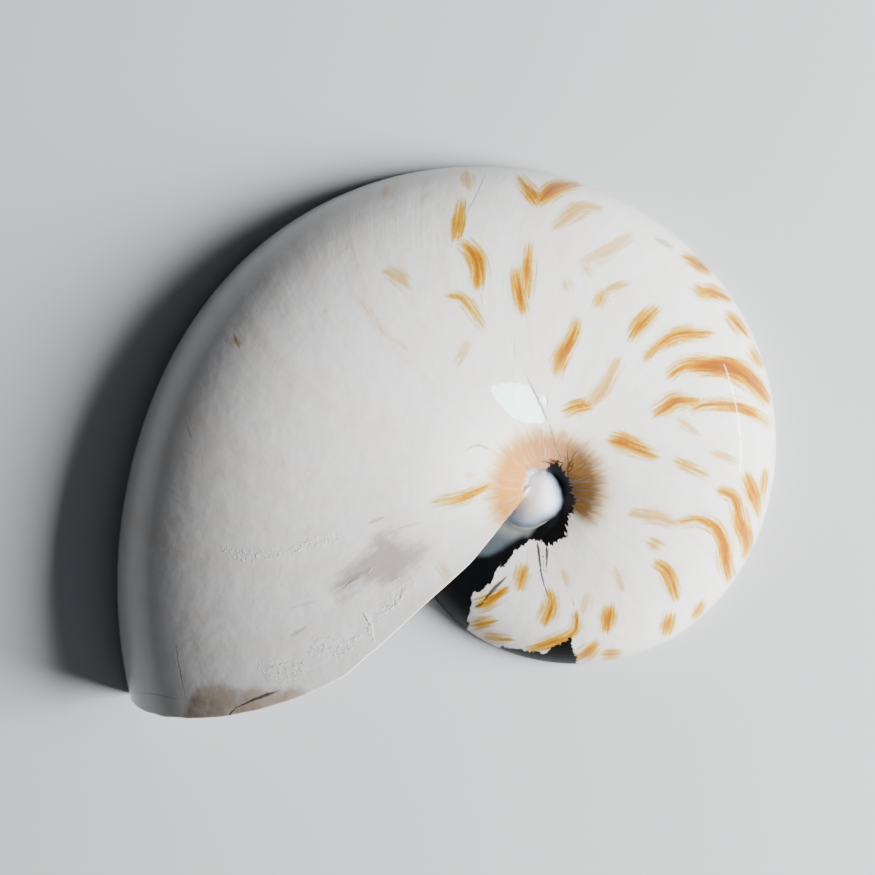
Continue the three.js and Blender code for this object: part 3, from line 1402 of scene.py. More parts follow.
FLAMES = (
    Stroke(((-17, 69), (-16.5, 64.5)), 3.4, 0.25),
    Stroke(((-18, 62), (-18.5, 57), (-19.5, 52.5)), 3.0, 0.6, 0.6),
    Stroke(((-17.5, 52), (-15.5, 49.5), (-14.5, 46.5), (-14.5, 42.5)), 4.3, 0.75, 0.4),
    Stroke(((-20.5, 41), (-17.5, 40), (-13.5, 34)), 2.2, 0.55, 0.4),
    Stroke(((-16.5, 31.5), (-19, 26.5)), 2.8, 0.2),
    Stroke(((-5.5, 67.5), (-3.5, 64.5), (-1.5, 61.5)), 3.3, 0.75, 0.7),
    Stroke(((-1.5, 61.5), (1, 64), (3.5, 65.5), (8.5, 67)), 4.0, 0.8, 0.35),
    Stroke(((1.5, 55.5), (5, 58.5), (8.5, 60.5), (12.5, 60.5)), 3.5, 0.35, 0.5),
    Stroke(((7, 48), (10.5, 49.5), (13.5, 51), (19, 55)), 3.5, 0.2, 0.4),
    Stroke(((7.5, 48.5), (9.5, 45.5)), 2.0, 0.2),
    Stroke(((-3.5, 52), (-4, 46.5), (-4.5, 40)), 3.0, 0.55, 0.5),
    Stroke(((-6.5, 47), (-6, 42), (-5, 37)), 3.3, 0.65, 0.5),
    Stroke(((4, 44), (4.5, 42.5)), 2.3, 0.2),
    Stroke(((11, 38.5), (12, 42)), 2.8, 0.5),
    Stroke(((12, 41.5), (14.5, 43), (17.5, 44)), 2.8, 0.4),
    Stroke(((1.5, 24), (3, 28), (5.5, 32.5), (6.5, 36.5)), 3.5, 0.7, 0.3),
    Stroke(((4, 16.5), (6.5, 17.5), (9.5, 18)), 3.0, 0.9, 0.5),
    Stroke(((9, 18), (11.5, 20.5), (13.5, 24), (15.5, 28)), 3.5, 0.4, 0.35),
    Stroke(((18, 32), (19.5, 34.5), (21, 36), (24, 39)), 3.5, 0.6, 0.4),
    Stroke(((21, 27.5), (24.5, 31), (28.5, 33), (36, 33.5)), 3.0, 0.75, 0.7),
    Stroke(((26, 24), (29, 26), (33, 26.5), (40, 26), (45.5, 23), (49.5, 18.5)), 4.8, 1.0, 0.6),
    Stroke(((23, 16), (25.5, 17.5), (28, 19), (33, 18.5)), 3.3, 0.9, 0.4),
    Stroke(((31, 17), (34, 18), (38.5, 18), (43.5, 17), (49.5, 14)), 2.8, 0.75, 0.5),
    Stroke(((28, 15), (33, 11.5)), 1.8, 0.35, 0.3),
    Stroke(((30.5, 50.5), (33, 49.5), (36.5, 47.5)), 3.0, 0.9, 0.6),
    Stroke(((32.5, 43.5), (34, 42.5), (36.5, 42.5), (41, 41)), 3.0, 0.85, 0.5),
    Stroke(((40, 38), (42, 36), (44.5, 33.5)), 3.0, 0.85, 0.5),
    Stroke(((45, 30.5), (46.5, 28.5), (48, 26.5)), 2.5, 0.7, 0.5),
    Stroke(((14, 10.5), (16, 10), (18.5, 9), (24, 7)), 3.8, 0.8, 0.2),
    Stroke(((27.5, 6), (31, 4.5), (35, 3)), 2.3, 0.5, 0.3),
    Stroke(((35.5, 8), (41.5, 5.5)), 2.3, 0.3),
    Stroke(((43.5, 3), (46, -2), (47.5, -6)), 3.8, 0.7, 0.5),
    Stroke(((48.5, 4), (48, -1.5)), 2.5, 0.6, 0.5),
    Stroke(((37.5, 0), (41, -2), (42.5, -7), (44.5, -12), (44, -15.5)), 3.8, 0.8, 0.6),
    Stroke(
        ((28.5, -7), (33, -6.5), (37, -8.5), (39, -12), (39.5, -16), (41, -20)), 3.3, 0.85, 0.75
    ),
    Stroke(((18, -5), (24, -6), (28.5, -7.5)), 3.5, 0.35, 0.5),
    Stroke(((22.5, -11.5), (24.5, -12.5)), 2.8, 0.45),
    Stroke(((24, -16), (26, -17.5), (27.5, -20), (29, -24)), 3.5, 0.65, 0.35),
    Stroke(((27.5, -27.5), (27, -32)), 3.3, 0.6),
    Stroke(((35, -25), (33, -28.5)), 3.0, 0.6),
    Stroke(((15, -17), (17, -22)), 2.5, 0.2),
    Stroke(((14, -25.5), (13.5, -31)), 3.5, 0.75, 0.4),
    Stroke(((11.5, -34), (10, -36), (8, -37.5)), 3.5, 0.6),
    Stroke(((13.5, -36.5), (16.5, -36.5)), 3.3, 0.5),
    Stroke(((9.5, -22.5), (8.5, -27)), 2.2, 0.2),
    Stroke(((7, -27), (6.5, -31), (2, -33.5), (-3.5, -35.5)), 2.5, 0.9, 0.6),
    Stroke(((1, -22), (1.5, -25), (0, -29.5)), 3.3, 0.8, 0.6),
    Stroke(((-4, -16.5), (-5.5, -22)), 3.0, 0.6, 0.4),
    Stroke(((4, -17.5), (5, -21)), 2.0, 0.25),
    Stroke(((-14.5, -25.5), (-12, -24.5), (-8, -22)), 2.8, 0.8, 0.3),
    Stroke(((-15.5, -30.5), (-10.5, -29)), 2.2, 0.75, 0.3),
    Stroke(((-13, -33), (-7, -33)), 2.0, 0.7, 0.3),
    Stroke(((-24, -2.5), (-18, -1.5), (-12.5, 1)), 2.3, 0.75, 0.6),
    Stroke(((-17.5, 2.5), (-15, 3)), 1.8, 0.25),
    Stroke(((-23, -14), (-20, -18.5)), 2.3, 0.12),
    Stroke(((-34, 46.5), (-31.5, 45), (-29, 42.5)), 3.5, 0.3, 0.4),
    Stroke(((-39.5, 40.5), (-35, 34), (-29, 29.5)), 1.3, 0.15),
    Stroke(((-66.5, 33), (-65, 30)), 1.4, 0.5),
    Stroke(((-34, 66), (-34.5, 62)), 1.8, 0.15),
)

CRACKS = (
    Stroke(((-12.5, 69.5), (-14, 65), (-17, 58.5)), 0.5, 0.35),
    Stroke(((-14.5, 43), (-13.5, 38.5)), 0.4, 0.3),
    Stroke(((-7, 31.5), (-7, 27.5)), 0.4, 0.3),
    Stroke(((-4.5, 24), (-2.5, 20), (-1.5, 18), (0.5, 14)), 0.6, 0.5),
    Stroke(((0.5, 14), (2, 9), (3.5, 6)), 0.5, 0.6),
    Stroke(((-17, 8.5), (-15, 9.5), (-12, 8.5)), 0.6, 0.6),
    Stroke(((-78, -32), (-77.5, -36), (-75.5, -45)), 0.4, 0.4),
    Stroke(((-89, -44), (-83, -43.5), (-77, -44)), 0.4, 0.3),
    Stroke(((-53, -29.5), (-50.5, -28)), 1.2, 0.35),
    Stroke(((-53.5, -24), (-48, -22.5)), 0.9, 0.2),
    Stroke(((-44.5, -20), (-38.5, -16.5)), 1.4, 0.25),
    Stroke(((-37, -6.5), (-34.5, -5.5)), 1.1, 0.4),
    Stroke(((-31, -7.5), (-29, -7), (-26.5, -6.5)), 0.9, 0.3),
    Stroke(((-76.5, 14.5), (-75, 10.5)), 0.6, 0.25),
    Stroke(((-66.5, 33), (-65, 30)), 0.9, 0.45),
    Stroke(((24.5, 54), (27.5, 52.5)), 2.0, 0.5),
    Stroke(((8, -4.5), (10, -5), (12, -4.5)), 0.5, 0.35),
)

INK = (
    Stroke(((-1.5, -11.5), (-1, -15.5), (-0.5, -19), (1, -24)), 0.7, 0.95, 0.1),
    Stroke(((0.5, -12.5), (0.5, -17.5)), 0.8, 0.95, 0.1),
    Stroke(((-3.5, -13), (-4, -18)), 0.4, 0.3, 0.1),
    Stroke(((6, -23.5), (6.5, -26)), 0.4, 0.5),
    Stroke(((-13, -24.5), (-11, -22), (-8, -19)), 1.3, 0.9),
    Stroke(((-15, -26), (-13, -25)), 1.0, 0.8),
    Stroke(((-1, 6), (1, 5.5), (3.5, 4)), 0.6, 0.8),
    Stroke(((0.5, 6.5), (4, 5.5)), 0.6, 0.8),
    Stroke(((5, 2.5), (5, 5), (7, 9)), 0.5, 0.7, 0.2),
    Stroke(((5.5, 3.5), (6, 6.5)), 0.4, 0.6),
    Stroke(((4.5, 9), (5, 4)), 0.4, 0.6, 0.9),
    Stroke(((-70.5, -51), (-69, -50), (-65, -45)), 1.2, 0.9, 0.3),
    Stroke(((-65, -45), (-61, -43), (-56, -41)), 0.9, 0.8, 0.8),
    Stroke(((-64.5, -49), (-62, -48.5)), 0.8, 0.8),
)

DENTS = (
    Stroke(((-38, -24.5), (-36.5, -28), (-36, -30.5)), 1.0, 1.0),
    Stroke(((-30.5, -18), (-30, -21), (-32.5, -24), (-35, -25)), 1.0, 0.9, 0.3),
    Stroke(((-44, -29.5), (-48, -31), (-51, -35.5)), 0.9, 0.5),
    Stroke(((-32.5, -18.5), (-31, -17.5)), 0.8, 0.8),
    Stroke(((-40.5, -30), (-39, -29.5)), 0.8, 0.6),
    Stroke(((-42.5, -20), (-36, -15.5)), 0.9, 0.7),
    Stroke(((-8, -7), (-5.5, -8.5), (-2.5, -8.5), (0.5, -7)), 0.7, 0.7),
)

WORN = (
    Stroke(((-68, -11.5), (-64, -13.5), (-53.5, -12.5)), 2.6, 0.9),
    Stroke(((-53.5, -12.5), (-48.5, -10.5), (-42, -9)), 2.6, 0.7),
    Stroke(((-60, -36), (-55, -37), (-50, -36)), 5.0, 0.4),
    Stroke(((-50, -33), (-44, -32), (-38, -31)), 4.0, 0.5),
    Stroke(((-36, -27), (-32, -22), (-27, -17)), 3.0, 0.4),
)

PATCHES = (
    Patch(
        "black",
        (
            ((0, 4.5), (2.5, 6), (4.5, 3.5), (5.5, 1), (6.5, -2.5), (6, -5), (5, -7))
            + ((4.5, -10.5), (2, -12), (0.5, -12.5), (-0.5, -11.5), (-2, -11), (-5, -12.5))
            + ((-7.5, -15), (-9.5, -17), (-11.5, -20.5), (-16, -24), (-15.5, -26), (-17, -33))
            + ((-17, -38), (-42, -38), (-42, -12), (-20, -8), (-10, -5), (-4, -3), (0, 0)),
            ((6, -32.5), (8, -40), (0, -40), (-9, -37), (-9, -34.5), (0, -36.5)),
        ),
    ),
    Patch(
        "callus",
        (
            ((-3, 6), (0.5, 4.5), (2, 3.5), (3, 2), (4, -0.5), (4.5, -2.5), (4, -4.5))
            + ((2.5, -6), (0.5, -7), (-1.5, -8.5), (-3.5, -9), (-5.5, -9), (-7.5, -8))
            + ((-10, -7), (-8, 0), (-6, 4)),
        ),
    ),
    # The steel patch: the grey-blue tongue under the lip, partly its own tint and partly painted
    # shade from the lip.
    Patch(
        "steel",
        (
            ((-8, -6), (-5.5, -8), (-2, -8.5), (-3.5, -10), (-5.5, -10.5), (-9.5, -13.5))
            + ((-12, -14.5), (-15, -14.5), (-16, -12), (-9.5, -4)),
        ),
    ),
    Patch(
        "pearl",
        (
            ((-11.5, 22), (-8, 22.5), (-5.5, 22.5), (-3.5, 22), (-1.5, 18), (0, 14))
            + ((-4, 14), (-7, 15), (-8.5, 16.5), (-11.5, 20)),
            ((-1.5, 20), (0, 20), (0, 17), (-1, 18.5)),
        ),
    ),
    Patch(
        "taupe",
        (
            ((-31, -7.5), (-35, -8.5), (-38, -13), (-44, -18), (-44.5, -20), (-42, -20))
            + ((-43, -22.5), (-38.5, -18.5), (-34, -19), (-30.5, -17), (-26.5, -14.5))
            + ((-24, -11), (-31, -10.5), (-32.5, -9.5), (-30.5, -8)),
        ),
    ),
    Patch(
        "tan",
        (
            ((-76, -45), (-73, -40.5), (-69, -39.5), (-64, -40.5), (-51, -40))
            + ((-44.5, -43.5), (-49, -49), (-69, -56), (-77, -56)),
        ),
    ),
)


def smooth_line(points: Sequence[Place], steps: int = 5) -> np.ndarray:
    """Draw a smooth line through points.

    Args:
        points: the points to pass through.
        steps: the pieces between two points.

    Returns:
        The line's points.
    """
    knots = np.array([points[0], *points, points[-1]], float)
    knots[0] = 2 * knots[1] - knots[2]
    knots[-1] = 2 * knots[-2] - knots[-3]
    line = [knots[1]]
    for i in range(1, len(knots) - 2):
        for share in np.arange(1, steps + 1) / steps:
            line.append(curve_through(knots[i - 1 : i + 3], share))
    return np.array(line)


@dataclass(frozen=True)
class Layer:
    """Strokes of one kind, whose places are stored on the shell under one name."""

    name: str
    strokes: tuple[Stroke, ...]
    taper: float


@dataclass(frozen=True)
class Markings:
    """Stores on the shell's points how far each is from the markings."""

    rule: GrowthRule
    axis: Place
    layers: tuple[Layer, ...] = (
        Layer("stripe", FLAMES, 0.4),
        Layer("crack", CRACKS, 0.5),
        Layer("ink", INK, 0.7),
        Layer("dent", DENTS, 0.5),
        Layer("worn", WORN, 0.5),
    )
    patches: tuple[Patch, ...] = PATCHES
    runs_apart: float = 50.0
    far: float = 1000.0
    margin: float = 3.0

    def apply(self, piece: bpy.types.Object) -> None:
        """Store the markings on a piece.

        Args:
            piece: the shell half.
        """
        mesh = piece.data
        places = np.empty(len(mesh.vertices) * 3)
        mesh.vertices.foreach_get("co", places)
        places = places.reshape(-1, 3) / MILLIMETRE
        places[:, :2] -= self.axis
        flat = places[:, :2]
        for layer in self.layers:
            edge, half, run = self._nearest(flat, layer)
            self._store(mesh, f"{layer.name}_edge", edge)
            self._store(mesh, f"{layer.name}_half", half)
            self._store(mesh, f"{layer.name}_run", run)
        for patch in self.patches:
            edge = np.min([self._patch_edge(flat, outline) for outline in patch.outlines], axis=0)
            self._store(mesh, patch.name, edge)
        self._growth_map(mesh, places)

    def _store(self, mesh: bpy.types.Mesh, name: str, values: np.ndarray) -> None:
        """Store numbers or vectors on the points of a mesh.

        Args:
            mesh: the mesh.
            name: the name to store them under.
            values: a number or a vector for each point.
        """
        kind, key = ("FLOAT", "value") if values.ndim == 1 else ("FLOAT_VECTOR", "vector")
        values = np.ascontiguousarray(values, dtype=np.float32).ravel()
        mesh.attributes.new(name, kind, "POINT").data.foreach_set(key, values)

    def _nearest(self, flat: np.ndarray, layer: Layer) -> tuple[np.ndarray, ...]:
        """Find the nearest stroke to each point.

        Args:
            flat: the points, seen from above.
            layer: the strokes.

        Returns:
            The distance to its edge (below 0 inside), half its width there, and the way across
            it, along it and its depth.
        """
        best = np.full(len(flat), self.far)
        halves = np.zeros(len(flat))
        runs = np.zeros((len(flat), 3))
        for number, stroke in enumerate(layer.strokes):
            line = smooth_line(stroke.points)
            lengths = np.linalg.norm(np.diff(line, axis=0), axis=1)
            reach = np.sum(lengths) + stroke.width + self.margin
            run_start = number * self.runs_apart
            done = 0.0
            near = np.flatnonzero(np.abs(flat - line.mean(axis=0)).max(axis=1) < reach)
            spots = flat[near]
            for start, end, length in zip(line, line[1:], lengths):
                step = (end - start) / length
                offset = spots - start
                run = np.clip(offset @ step, 0, length)
                distance = np.linalg.norm(offset - run[:, None] * step, axis=1)
                across = offset @ np.array([-step[1], step[0]])
                share = (done + run) / lengths.sum()
                swell = np.minimum(share / stroke.belly, (1 - share) / (1 - stroke.belly))
                half = np.clip(swell, 0, 1) ** layer.taper * stroke.width / 2
                closer = distance - half < best[near]
                spot = near[closer]
                best[spot] = (distance - half)[closer]
                halves[spot] = half[closer]
                depth = np.full(len(spot), stroke.depth)
                along = run_start + done + run[closer]
                runs[spot] = np.stack([across[closer], along, depth], axis=1)
                done += length
        return best, halves, runs

    def _patch_edge(self, flat: np.ndarray, outline: Sequence[Place]) -> np.ndarray:
        """The distance of points to a patch's edge, below 0 inside.

        Args:
            flat: the points, seen from above.
            outline: the patch's corners.

        Returns:
            The distances in millimetres.
        """
        corners = np.array(outline, float)
        inside = np.zeros(len(flat), bool)
        best = np.full(len(flat), self.far)
        for start, end in zip(corners, np.roll(corners, -1, axis=0)):
            side = end - start
            offset = flat - start
            run = np.clip(offset @ side / (side @ side), 0, 1)
            best = np.minimum(best, np.linalg.norm(offset - run[:, None] * side, axis=1))
            crosses = (start[1] > flat[:, 1]) != (end[1] > flat[:, 1])
            rise = side[1] if side[1] else 1e-9
            inside ^= crosses & (offset[:, 0] < side[0] * offset[:, 1] / rise)
        return np.where(inside, -best, best)

    def _growth_map(self, mesh: bpy.types.Mesh, places: np.ndarray) -> None:
        """Lay a UV map that runs along the growth and round the flank.

        Args:
            mesh: the shell's mesh.
            places: its points, from the axis.
        """
        corners = np.empty(len(mesh.loops), int)
        mesh.loops.foreach_get("vertex_index", corners)
        angle, round_ = self.rule.flank_place(places)
        values = np.stack([angle[corners] / 360, round_[corners]], axis=1)
        layer = mesh.uv_layers.new(name="growth")
        layer.data.foreach_set("uv", values.astype(np.float32).ravel())


# ---------------------------------------------------------------------------------------------
# Finishes
# ---------------------------------------------------------------------------------------------


def blend(tree: bpy.types.NodeTree, below: Value, above: Value, share: Value) -> Term:
    """Lay one colour over another.

    Args:
        tree: the material's tree.
        below: the colour underneath.
        above: the colour on top.
        share: how much of the top colour shows.

    Returns:
        The blended colour.
    """
    node = tree.nodes.new("ShaderNodeMix")
    node.data_type = "RGBA"
    for number, value in ((0, share), (6, below), (7, above)):
        feed(tree, node.inputs[number], value)
    return Term(tree, node.outputs[2])


@dataclass(frozen=True)
class Grain:
    """Noise about 0, between -0.5 and 0.5."""

    scale: float = 1.0
    detail: float = 2.0
    rough: float = 0.5

    def at(self, tree: bpy.types.NodeTree, place: Value) -> Term:
        """Read the noise at a place.

        Args:
            tree: the material's tree.
            place: where to read it.

        Returns:
            The noise.
        """
        inputs = {"Vector": place, "Scale": self.scale}
        inputs |= {"Detail": self.detail, "Roughness": self.rough}
        node = make_node(tree, "ShaderNodeTexNoise", inputs, noise_dimensions="3D")
        return Term(tree, node.outputs["Fac"]) - 0.5


@dataclass(frozen=True)
class Fibres:
    """Noise that is drawn out, by how fine it is across and along."""

    across: float
    along: float
    detail: float = 3.0
    rough: float = 0.5

    def at(self, tree: bpy.types.NodeTree, across: Term, along: Term) -> Term:
        """Read the noise at a place on a surface.

        Args:
            tree: the material's tree.
            across: how far across the fibres the place is.
            along: how far along them.

        Returns:
            The noise.
        """
        place = vector(tree, across * self.across, along * self.along)
        return Grain(1.0, self.detail, self.rough).at(tree, place)


def stored(tree: bpy.types.NodeTree, name: str) -> Term:
    """Read a number stored on the piece."""
    node = make_node(tree, "ShaderNodeAttribute", {}, attribute_name=name)
    return Term(tree, node.outputs["Fac"])


def stored_parts(tree: bpy.types.NodeTree, name: str) -> tuple[Term, Term, Term]:
    """Read the three parts of a vector stored on the piece.

    Args:
        tree: the material's tree.
        name: the name that it is stored under.

    Returns:
        The parts.
    """
    node = make_node(tree, "ShaderNodeAttribute", {}, attribute_name=name)
    split = make_node(tree, "ShaderNodeSeparateXYZ", {0: Term(tree, node.outputs["Vector"])})
    return tuple(Term(tree, output) for output in split.outputs)


def vector(tree: bpy.types.NodeTree, x: Value, y: Value, z: Value = 0.0) -> Term:
    """Put three numbers together."""
    return Term(tree, make_node(tree, "ShaderNodeCombineXYZ", {0: x, 1: y, 2: z}).outputs[0])


def millimetres(tree: bpy.types.NodeTree, axis: Place) -> tuple[Term, Term, Term]:
    """Read the place on the piece, in millimetres from the coiling axis.

    Args:
        tree: the material's tree.
        axis: where the coiling axis stands.

    Returns:
        The place in three parts.
    """
    place = make_node(tree, "ShaderNodeTexCoord", {}).outputs["Object"]
    split = make_node(tree, "ShaderNodeSeparateXYZ", {0: Term(tree, place)})
    x, y, z = (Term(tree, output) * (1 / MILLIMETRE) for output in split.outputs)
    return x - axis[0], y - axis[1], z


@dataclass(frozen=True)
class ThinLine:
    """The thin strokes of a layer."""

    wander: float
    grain: Grain = Grain(0.8, 4.0, 0.6)
    near: Range = (1.0, 0.4)
    edge: Range = (1.2, 0.3)
    least_half: float = 0.02

    def drawn(self, tree: bpy.types.NodeTree, name: str, place: Value) -> Term:
        """Draw the strokes.

        Args:
            tree: the material's tree.
            name: the layer.
            place: the place on the piece.

        Returns:
            How much of a stroke shows.
        """
        across, _, depth = stored_parts(tree, f"{name}_run")
        near = stored(tree, f"{name}_edge").ramp(*self.near)
        offset = across + self.grain.at(tree, place) * self.wander
        half = stored(tree, f"{name}_half") + self.least_half
        return (offset.absolute() / half).ramp(*self.edge) * near * depth


@dataclass(frozen=True)
class GlazePaint:
    """The colours of the callus and the black film, and where they meet. The lavender rim and the
    grey-blue tongue under the lip are partly painted shade.
    """

    white: Paint = paint(200, 198, 200)
    # Lavender: the callus rim, partly its own blue and partly painted shade where the mound turns
    # down.
    lavender_and_shade: Paint = paint(160, 172, 194)
    # Grey and steel: the tongue under the lip, partly its own blue-grey and partly painted shade
    # from the lip.
    grey_and_shade: Paint = paint(112, 114, 116)
    steel: Paint = paint(70, 80, 87)
    black: Paint = paint(6, 7, 9)
    spikes: Fibres = Fibres(16.0, 0.3)
    spike_length: float = 2.6
    fringe: Grain = Grain(1.5, 4.0, 0.6)
    fringe_length: float = 1.2
    cloud: Grain = Grain(0.25)
    film_edge: Range = (0.15, -0.15)
    # The white fades out inside the callus edge: partly painted shade before the crease.
    callus_edge: Range = (0.1, -2.4)
    callus_wander: float = 0.9
    steel_edge: Range = (0.9, -1.1)
    steel_wander: float = 1.2
    tongue_fade: Range = (0.0, 4.0)
    lavender_edge: Range = (-4.0, -1.2)


@dataclass
class SurfaceGroups:
    """The shader node groups that more than one finish uses."""

    axis: Place
    lip: Lip
    fine: Fibres = Fibres(3.2, 2.0, 4.0, 0.7)
    bands: Fibres = Fibres(0.22, 1.2, 2.0)

    def __post_init__(self) -> None:
        """Make the groups."""
        self.glaze = self._glaze(GlazePaint())
        self.growth = self._growth()

    def _glaze(self, colours: GlazePaint) -> Group:
        """The white callus in its black film, whose outer edge is ragged. Its lavender rim and the
        grey-blue tongue under the lip are partly painted shade.

        Args:
            colours: the paints of the callus and the film.

        Returns:
            The group.
        """
        group = Group(
            "Umbilicus Glaze",
            "ShaderNodeTree",
            {
                "Colour": (Kind.COLOUR,),
                "Where": (Kind.NUMBER, 1.0),
                "Raggedness": (Kind.NUMBER, 1.0),
            },
            {"Colour": Kind.COLOUR, "Film": Kind.NUMBER, "Callus": Kind.NUMBER},
        )
        tree = group.tree
        x, y, z = millimetres(tree, self.axis)
        place = vector(tree, x, y, z)
        reach = y.reach(x)
        turn = y.angle(x)
        spikes = colours.spikes.at(tree, turn, reach) * colours.spike_length
        spikes = spikes + colours.fringe.at(tree, place) * colours.fringe_length
        film = stored(tree, "black") + spikes * group.given("Raggedness")
        film = film.ramp(*colours.film_edge)
        cloud = colours.cloud.at(tree, place)
        inside = stored(tree, "callus") + cloud * colours.callus_wander
        # White fades towards the callus edge, partly painted shade where the mound turns down.
        white = inside.ramp(*colours.callus_edge)
        # The steel patch paints the tongue under the lip, partly painted shade.
        steel = stored(tree, "steel") + cloud * colours.steel_wander
        steel = steel.ramp(*colours.steel_edge)
        tongue = blend(tree, colours.grey_and_shade, colours.steel, inside.ramp(*colours.tongue_fade))
        dark = blend(tree, colours.black, tongue, steel)
        # The lavender rim is partly painted shade at the callus edge.
        lavender_and_shade = inside.ramp(*colours.lavender_edge)
        glaze = blend(tree, colours.white, colours.lavender_and_shade, lavender_and_shade)
        colour = blend(tree, dark, glaze, white)
        where = group.given("Where")
        cover = film.most(white).most(steel) * where
        colour = blend(tree, group.given("Colour"), colour, cover)
        group.gives(Colour=colour, Film=cover * (1.0 - white), Callus=white * where)
        return group

    def _growth(self) -> Group:
        """The growth lines, which follow the lip's shape.

        Returns:
            The group.
        """
        group = Group(
            "Growth Lines",
            "ShaderNodeTree",
            {"Forward": (Kind.NUMBER, self.lip.forward)},
            {"Fine": Kind.NUMBER, "Bands": Kind.NUMBER, "Turned": Kind.NUMBER},
        )
        tree = group.tree
        node = make_node(tree, "ShaderNodeUVMap", {}, uv_map="growth")
        split = make_node(tree, "ShaderNodeSeparateXYZ", {0: Term(tree, node.outputs[0])})
        along, round_ = (Term(tree, split.outputs[i]) for i in (0, 1))
        lip = self.lip
        forward = (round_ / lip.fully_forward).least(1.0) ** lip.forward_power
        growth = along * 360.0 - forward * group.given("Forward")
        group.gives(
            Fine=self.fine.at(tree, growth, round_),
            Bands=self.bands.at(tree, growth, round_),
            Turned=along * 360.0,
        )
        return group


